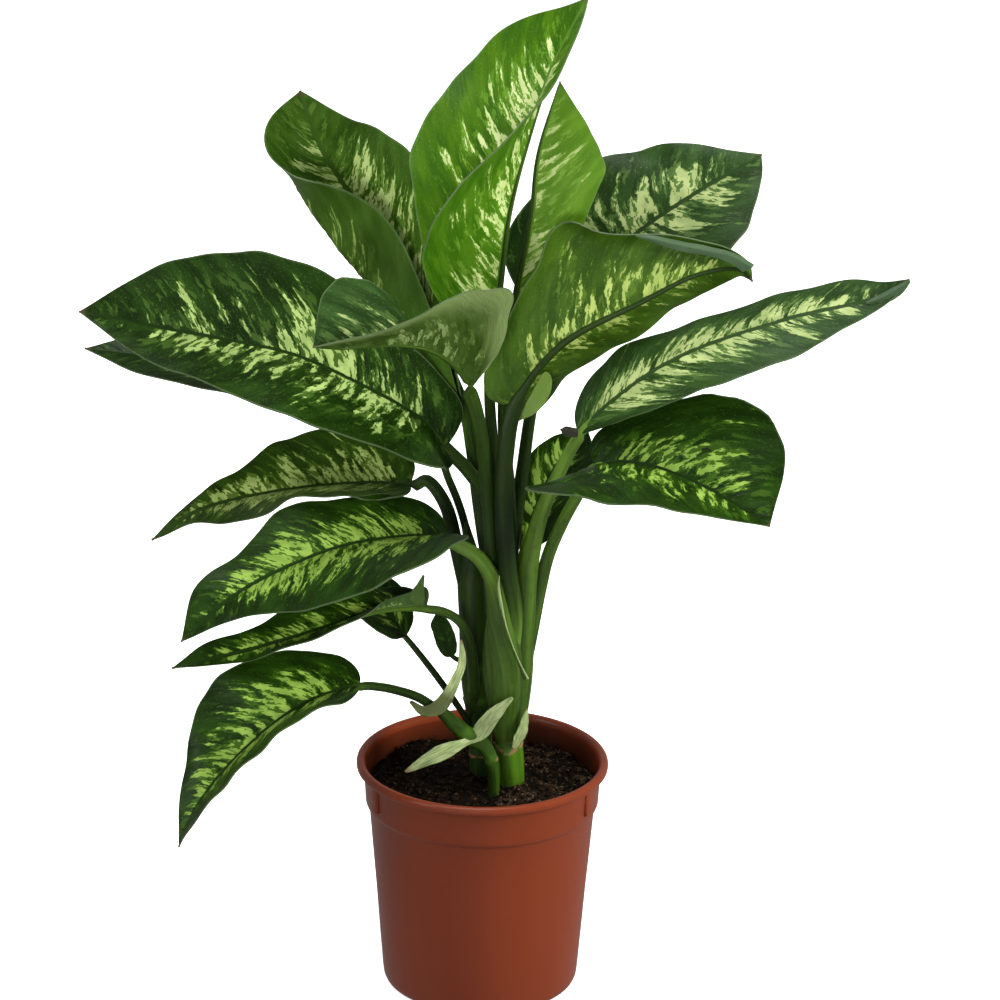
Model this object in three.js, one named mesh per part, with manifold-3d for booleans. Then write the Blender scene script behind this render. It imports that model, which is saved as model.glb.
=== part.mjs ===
// Potted dieffenbachia, in millimetres: X to the right, Y to the back, Z up,
// with the origin at the centre of the pot's underside.
import * as THREE from 'three';
import { mergeVertices } from 'three/addons/utils/BufferGeometryUtils.js';
import Module from 'manifold-3d';

const wasm = await Module();
wasm.setup();

// Pot: a tapering nursery pot with a collar and a rolled rim.
const POT_HEIGHT = 180;
const RIM_R = 95;
const COLLAR_R = 88.8;
const COLLAR_FOOT_Z = 145;
const FOOT_R = 74;
const WALL = 1.8;
const POT_SIDES = 36;
const DRAIN_HOLES = 6;
const DRAIN_R = 4.5;
const DRAIN_RING_R = 50;

// Potting mix
const SOIL_TOP = 158;
const SOIL_SIDES = 24;

// Plant
const GAP = 0.35;
const BLADE = 1.0;
const BLADE_ROWS = 10;
const BLADE_COLUMNS = [0.34, 0.68, 1];
const RIB_HALF = 3;
const RIB_DEPTH = 3.4;
const STALK_SIDES = 6;

const SOIL_COLOUR = 0x2a1c14;
const POT_COLOUR = 0x8f4431;
const CANE_COLOUR = 0x4b8a2c;
const LEAF_COLOUR = 0x2c6b2a;
const YOUNG_COLOUR = 0x4f9a2e;
const WITHERED_COLOUR = 0xa7b46c;

// Canes: a centre line from inside the potting mix upwards, with radii spread evenly along it.
const CANES = [
  {
    name: 'cane_main',
    line: [
      [23, -5, 122], [22, -4, 160], [20, -2, 190], [17, 1, 230], [14, 3, 270], [10, 4, 315],
      [7, 4, 358],
    ],
    radii: [10, 10, 10.3, 8, 9, 10, 8.5],
    pieces: 12,
    sides: 12,
  },
  {
    name: 'cane_left',
    line: [[-2, 14, 122], [-2, 14, 158], [-4, 16, 190], [-9, 19, 236], [-12, 22, 290], [-17, 23, 360]],
    radii: [8, 8.5, 9, 11, 11.5, 8],
    pieces: 9,
    sides: 12,
  },
  {
    name: 'side_shoot',
    line: [
      [8, -24, 130], [9, -24, 165], [8, -24, 184], [1, -23, 199], [-14, -23, 210], [-36, -28, 234],
    ],
    radii: [4, 4, 4.2, 4.6, 6.2, 5],
    pieces: 12,
    sides: 8,
  },
];

// Tip of an emptied leaf sheath that stands up beside the right-hand stalks.
const SPENT_SHEATH = {
  name: 'spent_sheath_right',
  line: [[22, 11, 298], [28, 14.5, 334], [31, 17, 362]],
  radii: [5, 4.5, 1],
  pieces: 5,
};

// Leaves. stalk: centre line from the cane to the blade, with its radii; rib: midrib from there to the
// tip; face: where the upper surface looks, from base to tip; width: greatest half-widths left and right
// of the midrib, seen from above with the tip ahead; lift: how far each half rises out of the blade's
// plane at the midrib, bend: how much it turns from midrib to margin, roll: how much more it turns from
// the share fold of its width outwards, all in degrees from base to tip; lobe: how far each half reaches
// back at the base; heel: share of the width at the base; peak: where the blade is widest; point: how
// slender its tip is; profile: shares of the width from base to tip, in place of heel, peak and point;
// columns, rows: where the blade is divided.
const LEAVES = [
  {
    name: 'leaf_top_folded',
    young: true,
    stalk: [[11, 12, 345], [9, 13, 388], [4, 9, 430]],
    radii: [4.8, 4.2],
    rib: [[0, 6, 490], [7, 8, 545], [14, 12, 604], [27, 18, 655], [43, 24, 704], [69, 30, 758]],
    face: [[-1, -0.2, 0.1], [-1, -0.3, 0.1]],
    width: [76, 80],
    lift: [[70, 72, 55, 30, 10], [78, 66, 30, 8, 0]],
    bend: [[0, 0, 0], [0, 0, 0]],
    lobe: [4, 6],
    peak: 0.34,
    heel: [0.4, 0.35],
  },
  {
    name: 'leaf_upper_upright',
    young: true,
    stalk: [[19, 11, 340], [17, 16, 390], [13, 15, 440]],
    radii: [4.8, 4.2],
    rib: [[15, 16, 490], [22, 22, 544], [31, 28, 594], [35, 34, 640], [50, 42, 693]],
    face: [[0.7, 0.7, 0], [0.7, 0.7, 0]],
    width: [52, 45],
    lift: [[40, 40, 30], [40, 40, 30]],
    bend: [[0, 0, 0], [0, 0, 0]],
    lobe: [6, 6],
    peak: 0.5,
  },
  {
    name: 'leaf_upper_right_back',
    stalk: [[20, 18, 335], [27, 26, 400], [36, 36, 460]],
    radii: [4.8, 4],
    rib: [[61, 58, 523], [111, 70, 566], [155, 76, 594], [188, 80, 617], [200, 85, 629]],
    face: [[-0.4, -0.7, 0.6], [-0.4, -0.7, 0.6]],
    width: [50, 46],
    lift: [[20, 20, 20], [20, 20, 20]],
    bend: [[-10, -10, -10], [-10, -10, -10]],
    lobe: [30, 10],
    peak: 0.32,
    point: 0.75,
    heel: [1.3, 0.5],
  },
  {
    name: 'leaf_upper_right_front',
    stalk: [[22, -9, 300], [17, -13, 336], [13, -14, 392], [14, -12, 430]],
    radii: [5.5, 7, 6.5, 6],
    rib: [[20, -6, 463], [53, -6, 509], [110, -10, 543], [152, -14, 566], [186, -18, 574]],
    face: [[-0.3, 0.9, 0.1], [-0.3, 0.9, 0.1]],
    width: [54, 58],
    lift: [[20, 20, 20], [32, 32, 30]],
    bend: [[0, 0, 0], [0, 0, 0]],
    roll: [[0, 0, 0], [0, -40, -60]],
    lobe: [30, 20],
    peak: 0.36,
    heel: [0.5, 0.32],
  },
  {
    name: 'leaf_centre_curled',
    stalk: [[5, -7, 345], [2, -10, 389], [-6, -16, 444]],
    radii: [5, 5.5],
    rib: [
      [-15, -18, 473], [-25, -30, 497], [-46, -48, 511], [-76, -70, 520], [-103, -86, 531],
      [-127, -100, 537],
    ],
    face: [[0.2, 0.8, 0.5], [0, -0.2, 0.95], [0.1, -0.4, 0.9]],
    width: [72, 58],
    lift: [[0, 35, 65, 62, 50], [0, 20, 28, 28, 20]],
    bend: [[0, 0, 0], [0, 0, 0]],
    lobe: [-50, 0],
    columns: [0.5, 1],
    profile: [[0.72, 0.95, 0.7, 0.38, 0.02], [0.4, 0.75, 1, 0.78, 0.02]],
  },
  {
    name: 'leaf_upper_left',
    stalk: [[0, 13, 345], [-6, 16, 385], [-10, 18, 414]],
    radii: [4.8, 4.6],
    rib: [
      [-18, 21, 453], [-38, 34, 503], [-65, 50, 552], [-96, 58, 594], [-123, 58, 637],
      [-137, 52, 678],
    ],
    face: [[-0.5, -0.6, 0.6], [-0.5, -0.7, 0.5]],
    width: [84, 60],
    lift: [[20, 10, 10, 5, 5], [20, 20, 20]],
    bend: [[0, 0, 0, 0, 0], [0, 0, 0]],
    lobe: [4, 4],
    peak: 0.5,
    roll: [[120, 155, 150, 100, 0], [0, 0]],
    point: 1,
    heel: [0.3, 0.3],
    fold: 0.2,
    columns: [0.2, 0.4, 0.6, 1],
  },
  {
    name: 'leaf_left_large',
    stalk: [[6, 0, 345], [1, 4, 385], [-12, 4, 406], [-28, 3, 424]],
    radii: [5.5, 5.2, 5],
    rib: [
      [-46, 0, 447], [-92, -5, 476], [-140, -8, 499], [-192, -10, 511], [-233, -12, 519],
      [-295, -14, 532],
    ],
    face: [[0.1, -0.85, 0.5], [0.1, -0.8, 0.6]],
    width: [72, 66],
    lift: [[42, 42, 35], [20, 20, 20]],
    bend: [[-10, -10, -10], [-10, -10, -10]],
    lobe: [22, 16],
    peak: 0.34,
    heel: [0.5, 0.2],
  },
  {
    name: 'leaf_left_behind',
    stalk: [[-14, 27, 350], [-20, 30, 372], [-27, 31, 390]],
    radii: [3, 2.6],
    rib: [[-38, 34, 412], [-138, 50, 450], [-227, 50, 474], [-298, 48, 484]],
    face: [[0, -0.3, 0.95], [0, -0.3, 0.95]],
    width: [36, 36],
    lift: [[20, 20, 20], [20, 20, 20]],
    bend: [[0, 0, 0], [0, 0, 0]],
    lobe: [8, 8],
    peak: 0.5,
    columns: [0.5, 1],
    rows: 8,
  },
  {
    name: 'leaf_left_second',
    stalk: [[-22, 20, 345], [-31, 20, 378], [-44, 22, 394]],
    radii: [5, 4.4],
    rib: [[-56, 28, 388], [-90, 36, 385], [-145, 34, 380], [-211, 24, 367], [-248, 14, 346]],
    face: [[0, -0.35, 0.94], [0, -0.35, 0.94]],
    width: [44, 48],
    lift: [[30, 20, 10], [25, 22, 15]],
    bend: [[0, 0, 0], [-10, -10, -10]],
    lobe: [8, 2],
    peak: 0.3,
    point: 2,
  },
  {
    name: 'leaf_left_third',
    stalk: [
      [19, -1, 200], [16, -3, 235], [14, -5, 265], [11, -11, 305], [5, -15, 332], [-5, -16, 348],
      [-17, -15, 356],
    ],
    radii: [11, 15, 14.5, 10, 6, 5.4, 5],
    rib: [[-29, -13, 361], [-84, -35, 366], [-120, -50, 361], [-177, -70, 338], [-219, -85, 305]],
    face: [[-0.1, -0.5, 0.85], [-0.2, -0.6, 0.75]],
    width: [56, 44],
    lift: [[20, 20, 20], [20, 20, 20]],
    bend: [[-10, -10, -10], [-10, -10, -10]],
    lobe: [16, 2],
    peak: 0.3,
    point: 1.7,
  },
  {
    name: 'leaf_left_twisted',
    stalk: [[-7, 9, 230], [-8, 2, 255], [-11, -4, 278], [-18, -7, 293], [-29, -8, 301]],
    radii: [4.4, 3.6, 3.3],
    rib: [[-43, -8, 304], [-77, -25, 308], [-120, -45, 300], [-171, -60, 289], [-227, -75, 280]],
    face: [[0, -0.2, 0.98], [-0.1, -0.7, 0.7]],
    width: [32, 38],
    lift: [[115, 40, 10, 5], [20, 20, 20, 20]],
    bend: [[0, 0, 0], [0, 0, 0]],
    lobe: [10, 4],
    peak: 0.35,
    point: 2.2,
  },
  {
    name: 'leaf_left_small',
    stalk: [[-11, 8, 204], [-22, 10, 222], [-34, 14, 238], [-46, 16, 254]],
    radii: [2.6, 2.2],
    rib: [[-59, 17, 271], [-75, 22, 288], [-92, 30, 298], [-112, 38, 304]],
    face: [[0, -0.4, 0.9], [0, -0.4, 0.9]],
    width: [24, 24],
    lift: [[15, 15, 15], [15, 15, 15]],
    bend: [[0, 0, 0], [0, 0, 0]],
    lobe: [4, 4],
    peak: 0.4,
    rows: 6,
    columns: [0.5, 1],
  },
  {
    name: 'leaf_left_hanging',
    stalk: [[-36, -28, 232], [-48, -33, 242], [-62, -38, 249], [-77, -42, 254]],
    radii: [3.6, 3.4, 3.2],
    rib: [[-91, -45, 256], [-133, -72, 250], [-176, -100, 223], [-205, -116, 190], [-222, -125, 158]],
    face: [[-0.2, -0.5, 0.85], [-0.7, -0.5, 0.5]],
    width: [42, 48],
    lift: [[48, 46, 30], [20, 18, 15]],
    bend: [[-10, -10, -10], [-10, -10, -10]],
    lobe: [8, 2],
    peak: 0.36,
    point: 1.5,
  },
  {
    name: 'leaf_right_long',
    stalk: [[27, 3, 246], [29, 4, 285], [32, 4, 330], [40, 2, 372], [52, -3, 406]],
    radii: [7.5, 8.5, 6, 4.8, 4.2],
    rib: [
      [68, -14, 444], [97, -30, 480], [139, -38, 512], [217, -42, 543], [281, -42, 560],
      [300, -42, 573],
    ],
    face: [[-0.1, -0.6, 0.75], [-0.1, -0.6, 0.75]],
    width: [40, 38],
    lift: [[-20, -20, -10], [8, 8, 8]],
    bend: [[0, 0, 0], [-5, -5, 0]],
    lobe: [12, 0],
    peak: 0.36,
    point: 0.9,
    heel: [0.5, 0.25],
  },
  {
    name: 'leaf_right_oval',
    stalk: [[35, 6, 280], [41, 9, 312], [47, 6, 341], [56, 0, 367], [66, -10, 392]],
    radii: [5, 4.8, 4.2],
    rib: [[80, -28, 424], [112, -40, 430], [155, -56, 420], [205, -75, 396]],
    face: [[0.1, -0.6, 0.75], [0.2, -0.7, 0.7]],
    width: [65, 42],
    lift: [[18, 18, 18], [60, 45, 45]],
    bend: [[-10, -10, -10], [-10, -10, -10]],
    lobe: [14, 62],
    peak: 0.55,
    point: 0.9,
  },
  {
    name: 'leaf_right_behind',
    stalk: [[20, 14, 285], [26, 22, 305], [28, 32, 325]],
    radii: [4, 3.5],
    rib: [[30, 40, 335], [40, 56, 365], [56, 74, 392], [76, 90, 412]],
    face: [[-0.3, -0.8, 0.5], [-0.3, -0.8, 0.5]],
    width: [24, 34],
    lift: [[15, 15, 15], [15, 15, 15]],
    bend: [[0, 0, 0], [0, 0, 0]],
    lobe: [8, 8],
    peak: 0.45,
    rows: 8,
    columns: [0.5, 1],
  },
  {
    name: 'leaf_left_bud',
    stalk: [[-18, 14, 250], [-21, 13, 254]],
    radii: [2, 1.8],
    rib: [[-23, 12, 257], [-28, 13, 272], [-34, 14, 287]],
    face: [[-0.4, -0.8, 0.3], [-0.4, -0.8, 0.3]],
    width: [8, 8],
    lift: [[15, 15, 15], [15, 15, 15]],
    bend: [[0, 0, 0], [0, 0, 0]],
    lobe: [0, 0],
    peak: 0.5,
    rows: 4,
    columns: [1],
  },
  {
    name: 'withered_leaf_front',
    withered: true,
    stalk: [],
    rib: [
      [22, -24, 239], [8, -27, 226], [-5, -27, 208], [-20, -36, 204], [-39, -44, 197],
      [-57, -50, 189],
    ],
    face: [[0.1, -0.8, 0.6], [-0.1, -0.6, 0.8]],
    width: [9, 9],
    lift: [[10, 10, 10], [10, 10, 10]],
    bend: [[0, 0, 0], [0, 0, 0]],
    lobe: [0, 0],
    rows: 10,
    columns: [0.5, 1],
    profile: [[0.05, 0.7, 0.6, 0.7, 1, 0.8, 0.1], [0.05, 0.7, 0.6, 0.7, 1, 0.8, 0.1]],
  },
  {
    name: 'withered_sheath_left',
    withered: true,
    stalk: [],
    rib: [
      [-54, -34, 236], [-41, -36, 226], [-30, -33.5, 231], [-22, -26, 246], [-16, -20, 264],
      [-17, -17, 281],
    ],
    face: [[0, -0.8, 0.6], [0.3, -0.9, 0]],
    width: [7, 7],
    lift: [[10, 10, 10], [10, 10, 10]],
    bend: [[0, 0, 0], [0, 0, 0]],
    lobe: [0, 0],
    rows: 10,
    columns: [1],
    profile: [[0.1, 0.8, 1, 0.6, 0.5, 0.4, 0.1], [0.1, 0.8, 1, 0.6, 0.5, 0.4, 0.1]],
  },
  {
    name: 'withered_scrap',
    withered: true,
    stalk: [],
    rib: [[23.5, -12, 193], [30, -13, 209], [33, -11, 225]],
    face: [[0.5, -0.9, 0], [0.6, -0.8, 0]],
    width: [5, 5],
    lift: [[0, 0, 0], [0, 0, 0]],
    bend: [[0, 0, 0], [0, 0, 0]],
    lobe: [0, 0],
    rows: 5,
    columns: [1],
    profile: [[0.3, 1, 0.7, 0.1], [0.3, 1, 0.7, 0.1]],
  },
];

const V = (p) => new THREE.Vector3(...p);
const RAD = Math.PI / 180;

// Value of a list spread evenly over 0..1, eased between its entries.
const listAt = (list, t) => {
  if (list.length < 2) {
    return list[0];
  }
  const x = Math.min(Math.max(t, 0), 1) * (list.length - 1);
  const i = Math.min(Math.floor(x), list.length - 2);
  const f = x - i;
  return list[i] + (list[i + 1] - list[i]) * f * f * (3 - 2 * f);
};

const fromGeometry = (geometry) => {
  const bare = geometry.clone();
  bare.deleteAttribute('normal');
  bare.deleteAttribute('uv');
  const welded = mergeVertices(bare, 1e-4);
  return new wasm.Manifold(new wasm.Mesh({
    numProp: 3,
    vertProperties: Float32Array.from(welded.attributes.position.array),
    triVerts: Uint32Array.from(welded.index.array),
  }));
};

const toGeometry = (solid) => {
  const mesh = solid.getMesh();
  const geometry = new THREE.BufferGeometry();
  geometry.setAttribute('position', new THREE.BufferAttribute(Float32Array.from(mesh.vertProperties), 3));
  geometry.setIndex(new THREE.BufferAttribute(Uint32Array.from(mesh.triVerts), 1));
  geometry.computeVertexNormals();
  return geometry;
};

const group = new THREE.Group();
const put = (name, solid, color, roughness) => {
  const material = new THREE.MeshStandardMaterial({ color, roughness, metalness: 0 });
  const mesh = new THREE.Mesh(toGeometry(solid), material);
  mesh.name = name;
  group.add(mesh);
};

// A round bar along a smooth line, its radius following the list from start to end.
const bar = ({ line, radii, sides = STALK_SIDES, pieces = 8 }, grow = 0) => {
  const curve = new THREE.CatmullRomCurve3(line.map(V));
  const points = [];
  const index = [];
  let across = new THREE.Vector3(0, 1, 0);
  for (let i = 0; i <= pieces; i += 1) {
    const along = curve.getTangentAt(i / pieces);
    const centre = curve.getPointAt(i / pieces);
    if (i === 0) {
      centre.addScaledVector(along, -grow);
    }
    if (i === pieces) {
      centre.addScaledVector(along, grow);
    }
    across = across.clone().addScaledVector(along, -across.dot(along)).normalize();
    const other = new THREE.Vector3().crossVectors(along, across);
    const r = listAt(radii, i / pieces) + grow;
    for (let k = 0; k < sides; k += 1) {
      const a = 2 * Math.PI * k / sides;
      const point = centre.clone().addScaledVector(across, r * Math.cos(a));
      points.push(point.addScaledVector(other, r * Math.sin(a)));
    }
  }
  for (let i = 0; i < pieces; i += 1) {
    for (let k = 0; k < sides; k += 1) {
      const a = i * sides + k;
      const b = i * sides + (k + 1) % sides;
      index.push(a, b, b + sides, a, b + sides, a + sides);
    }
  }
  const last = pieces * sides;
  for (let k = 1; k + 1 < sides; k += 1) {
    index.push(0, k + 1, k);
    index.push(last, last + k, last + k + 1);
  }
  const geometry = new THREE.BufferGeometry().setFromPoints(points);
  geometry.setIndex(index);
  return fromGeometry(geometry);
};

// Stalk and midrib in one smooth line, and the share of its length where the blade starts.
const leafLine = (leaf) => {
  const points = [...leaf.stalk, ...leaf.rib];
  const curve = new THREE.CatmullRomCurve3(points.map(V));
  const steps = 60 * (points.length - 1);
  curve.arcLengthDivisions = steps;
  const lengths = curve.getLengths();
  return { curve, start: lengths[60 * leaf.stalk.length] / lengths[steps] };
};

// Half-width of the blade at s along the midrib, as a share of its greatest.
const outline = ({ profile, peak, heel = [0.5, 0.5], point = 1.15 }, s, k) => {
  if (profile) {
    return listAt(profile[k], s);
  }
  if (s < peak) {
    return heel[k] + (1 - heel[k]) * Math.sin(Math.PI / 2 * s / peak);
  }
  return (1 - ((s - peak) / (1 - peak)) ** 1.9) ** point;
};

// Middle surface of a blade: s runs along the midrib, u from the midrib to the margin on one side.
const bladePoint = (leaf, line, s, side, u) => {
  const k = side < 0 ? 0 : 1;
  const at = line.start + (1 - line.start) * s;
  const along = line.curve.getTangentAt(at);
  const up = V([0, 1, 2].map((c) => listAt(leaf.face.map((face) => face[c]), s)));
  up.addScaledVector(along, -up.dot(along)).normalize();
  const right = new THREE.Vector3().crossVectors(along, up);
  const w = Math.max(leaf.width[k] * outline(leaf, s, k), 0.8);
  const lift = listAt(leaf.lift[k], s) * RAD;
  const bend = listAt(leaf.bend[k], s) * RAD;
  const roll = listAt(leaf.roll?.[k] ?? [0], s) * RAD;
  const fold = leaf.fold ?? 0.65;
  const steps = 12;
  let x = 0;
  let z = 0;
  for (let i = 0; i < steps; i += 1) {
    const v = u * (i + 0.5) / steps;
    const angle = lift + bend * v + roll * Math.min(1, Math.max(0, (v - fold) / 0.35)) ** 1.5;
    x += w * u / steps * Math.cos(angle);
    z += w * u / steps * Math.sin(angle);
  }
  const early = Math.max(1 - s / 0.3, 0) ** 2;
  const sweep = w * 0.35 * (u + 0.5 * u * u) * (1 - early);
  const back = leaf.lobe[k] * early * 4 * u * (1 - 0.75 * u);
  return line.curve.getPointAt(at)
    .addScaledVector(right, side * x)
    .addScaledVector(up, z)
    .addScaledVector(along, sweep - back);
};

// A blade of even thickness, its two faces split alike, with a ridge along the midrib underneath.
const blade = (leaf, line) => {
  const rows = leaf.rows ?? BLADE_ROWS;
  const grid = [];
  for (let i = 0; i <= rows; i += 1) {
    const s = i / rows;
    const halves = [-1, 1].map((side) => {
      const k = side < 0 ? 0 : 1;
      const w = Math.max(leaf.width[k] * outline(leaf, s, k), 0.8);
      const rib = Math.min(0.5, RIB_HALF / w);
      const steps = [0, ...(leaf.columns ?? BLADE_COLUMNS)];
      return steps.map((c) => bladePoint(leaf, line, s, side, rib + (1 - rib) * c));
    });
    grid.push([...halves[0].reverse(), bladePoint(leaf, line, s, 1, 0), ...halves[1]]);
  }
  const columns = grid[0].length;
  const middle = (columns - 1) / 2;
  const top = [];
  const under = [];
  for (let i = 0; i <= rows; i += 1) {
    for (let j = 0; j < columns; j += 1) {
      const across = grid[i][Math.min(j + 1, columns - 1)].clone().sub(grid[i][Math.max(j - 1, 0)]);
      const ahead = grid[Math.min(i + 1, rows)][j].clone().sub(grid[Math.max(i - 1, 0)][j]);
      const normal = across.cross(ahead).normalize();
      const ridge = j === middle ? RIB_DEPTH * (1 - 0.85 * i / rows) * Math.min(1, leaf.width[0] / 40) : 0;
      top.push(grid[i][j].clone().addScaledVector(normal, BLADE / 2));
      under.push(grid[i][j].clone().addScaledVector(normal, -BLADE / 2 - ridge));
    }
  }
  const n = top.length;
  const index = [];
  const wall = (a, b) => index.push(a, b, b + n, a, b + n, a + n);
  for (let i = 0; i < rows; i += 1) {
    for (let j = 0; j + 1 < columns; j += 1) {
      const a = i * columns + j;
      const c = a + columns;
      const split = j < middle ? [a, a + 1, c + 1, a, c + 1, c] : [a, a + 1, c, a + 1, c + 1, c];
      index.push(...split);
      for (let k = 0; k < 6; k += 3) {
        index.push(split[k] + n, split[k + 2] + n, split[k + 1] + n);
      }
    }
    wall(i * columns, (i + 1) * columns);
    wall((i + 1) * columns + columns - 1, i * columns + columns - 1);
  }
  for (let j = 0; j + 1 < columns; j += 1) {
    wall(j + 1, j);
    wall(rows * columns + j, rows * columns + j + 1);
  }
  const geometry = new THREE.BufferGeometry().setFromPoints([...top, ...under]);
  geometry.setIndex(index);
  return fromGeometry(geometry);
};

// The stalk runs on a little way under the midrib, set below the blade's middle surface.
const stalkBar = (leaf, line) => {
  const steps = Math.max(5, leaf.stalk.length + 2);
  const end = leaf.radii[leaf.radii.length - 1];
  const points = [];
  for (let i = 0; i <= steps; i += 1) {
    const t = i / steps;
    const at = (line.start + 0.015) * t;
    const along = line.curve.getTangentAt(at);
    const up = V(leaf.face[0]);
    up.addScaledVector(along, -up.dot(along)).normalize();
    points.push(line.curve.getPointAt(at).addScaledVector(up, -0.55 * end * t ** 6).toArray());
  }
  return { line: points, radii: leaf.radii, pieces: steps + 1 };
};

const biggest = (solid) => solid.decompose().sort((a, b) => b.volume() - a.volume())[0];

const grown = [];
for (const cane of CANES) {
  put(cane.name, bar(cane), CANE_COLOUR, 0.5);
  grown.push(bar(cane, GAP));
}
const caneHoles = grown.slice();

const colourOf = (leaf) => {
  if (leaf.withered) {
    return WITHERED_COLOUR;
  }
  return leaf.young ? YOUNG_COLOUR : LEAF_COLOUR;
};

for (const leaf of LEAVES) {
  const line = leafLine(leaf);
  let solid = blade(leaf, line);
  const stalk = leaf.radii ? stalkBar(leaf, line) : null;
  if (stalk) {
    solid = solid.add(bar(stalk));
  }
  for (const other of grown) {
    solid = solid.subtract(other);
  }
  if (stalk) {
    grown.push(bar(stalk, GAP));
  }
  put(leaf.name, biggest(solid), colourOf(leaf), 0.45);
}

let spent = bar(SPENT_SHEATH);
for (const other of grown) {
  spent = spent.subtract(other);
}
put(SPENT_SHEATH.name, biggest(spent), CANE_COLOUR, 0.5);

// A solid turned from a closed profile of [radius, height] points, first and last on the axis
// or joined to each other.
const lathe = (profile, sides) => {
  const turned = new THREE.LatheGeometry(profile.map(([r, z]) => new THREE.Vector2(r, z)), sides);
  turned.rotateX(Math.PI / 2);
  return turned;
};

const wallAt = (z) => FOOT_R + (COLLAR_R - 3.4 - FOOT_R) * z / COLLAR_FOOT_Z;
const potProfile = [
  [0, 0],
  [FOOT_R - 3, 0],
  [FOOT_R - 0.8, 1.2],
  [wallAt(4), 4],
  [wallAt(COLLAR_FOOT_Z - 1.5), COLLAR_FOOT_Z - 1.5],
  [COLLAR_R - 1.2, COLLAR_FOOT_Z + 0.8],
  [COLLAR_R, 167],
  [RIM_R - 2.2, 168.2],
  [RIM_R, 171.5],
  [RIM_R, 176.5],
  [RIM_R - 2.2, POT_HEIGHT - 0.3],
  [RIM_R - 5, POT_HEIGHT],
  [RIM_R - 6.8, POT_HEIGHT - 1.6],
  [COLLAR_R - WALL, 172],
  [COLLAR_R - 1.2 - WALL, COLLAR_FOOT_Z + 1],
  [wallAt(COLLAR_FOOT_Z - 3) - WALL, COLLAR_FOOT_Z - 3],
  [wallAt(6) - WALL, 6],
  [FOOT_R - 4.5, 2.4],
  [0, 2.4],
];
let pot = fromGeometry(lathe(potProfile, POT_SIDES));
for (let i = 0; i < DRAIN_HOLES; i += 1) {
  const a = 2 * Math.PI * (i + 0.5) / DRAIN_HOLES;
  const at = [DRAIN_RING_R * Math.cos(a), DRAIN_RING_R * Math.sin(a)];
  const hole = { line: [[...at, -2], [...at, 1], [...at, 5]], radii: [DRAIN_R], pieces: 1 };
  pot = pot.subtract(bar(hole));
}
put('pot', pot, POT_COLOUR, 0.4);

// The potting mix fills the pot, its top slightly mounded and uneven, with a hole for each cane.
const soilProfile = [
  [0, 2.4 + GAP],
  [FOOT_R - 5, 2.4 + GAP],
  [wallAt(6) - WALL - 0.6, 6.4],
  [wallAt(COLLAR_FOOT_Z - 3) - WALL - 0.5, COLLAR_FOOT_Z - 3],
  [COLLAR_R - 1.8 - WALL, COLLAR_FOOT_Z + 2],
  [COLLAR_R - 1.8 - WALL, SOIL_TOP],
  [62, SOIL_TOP + 1],
  [36, SOIL_TOP + 2],
  [0, SOIL_TOP + 3],
];
const soilShape = lathe(soilProfile, SOIL_SIDES);
const soilPoints = soilShape.attributes.position;
for (let i = 0; i < soilPoints.count; i += 1) {
  if (soilPoints.getZ(i) > SOIL_TOP - 1) {
    const x = soilPoints.getX(i);
    const y = soilPoints.getY(i);
    const bump = 1.6 * Math.sin(x / 9 + 1) * Math.cos(y / 11) + 1.2 * Math.sin(x / 23 - y / 17);
    soilPoints.setZ(i, soilPoints.getZ(i) + bump);
  }
}
let soil = fromGeometry(soilShape);
for (const hole of caneHoles) {
  soil = soil.subtract(hole);
}
put('soil', biggest(soil), SOIL_COLOUR, 0.95);

export default group;
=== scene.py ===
"""A potted dieffenbachia: canes with large streaked leaves in a brown plastic nursery pot."""
import math

import bpy
import numpy as np
from mathutils import Matrix


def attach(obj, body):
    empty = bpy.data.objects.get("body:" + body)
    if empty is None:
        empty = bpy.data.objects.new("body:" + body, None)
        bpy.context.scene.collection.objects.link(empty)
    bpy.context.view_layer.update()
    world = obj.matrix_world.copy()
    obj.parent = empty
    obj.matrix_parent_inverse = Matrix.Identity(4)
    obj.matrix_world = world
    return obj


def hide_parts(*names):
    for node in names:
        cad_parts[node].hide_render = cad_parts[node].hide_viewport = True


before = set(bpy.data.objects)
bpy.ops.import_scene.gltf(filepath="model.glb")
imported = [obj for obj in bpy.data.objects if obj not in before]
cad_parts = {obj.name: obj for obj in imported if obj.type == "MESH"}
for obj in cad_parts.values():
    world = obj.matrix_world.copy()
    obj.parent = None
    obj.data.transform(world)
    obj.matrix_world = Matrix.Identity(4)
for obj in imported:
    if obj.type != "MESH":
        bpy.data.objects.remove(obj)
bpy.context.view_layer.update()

# ---------------------------------------------------------------------------------------------
# The studio. A white floor, a wide soft light over the plant, a strong one from the right, weak
# ones from the left, the back and the front, and a camera that looks down on it by 20 degrees.
# The last value of a light tells whether glossy surfaces mirror it.
scene = bpy.context.scene
scene.view_settings.view_transform = "Standard"

world = bpy.data.worlds.new("studio_air")
world.use_nodes = True
air = world.node_tree.nodes["Background"]
air.inputs["Color"].default_value = (1.0, 1.0, 1.0, 1.0)
air.inputs["Strength"].default_value = 0.32
scene.world = world

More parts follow.
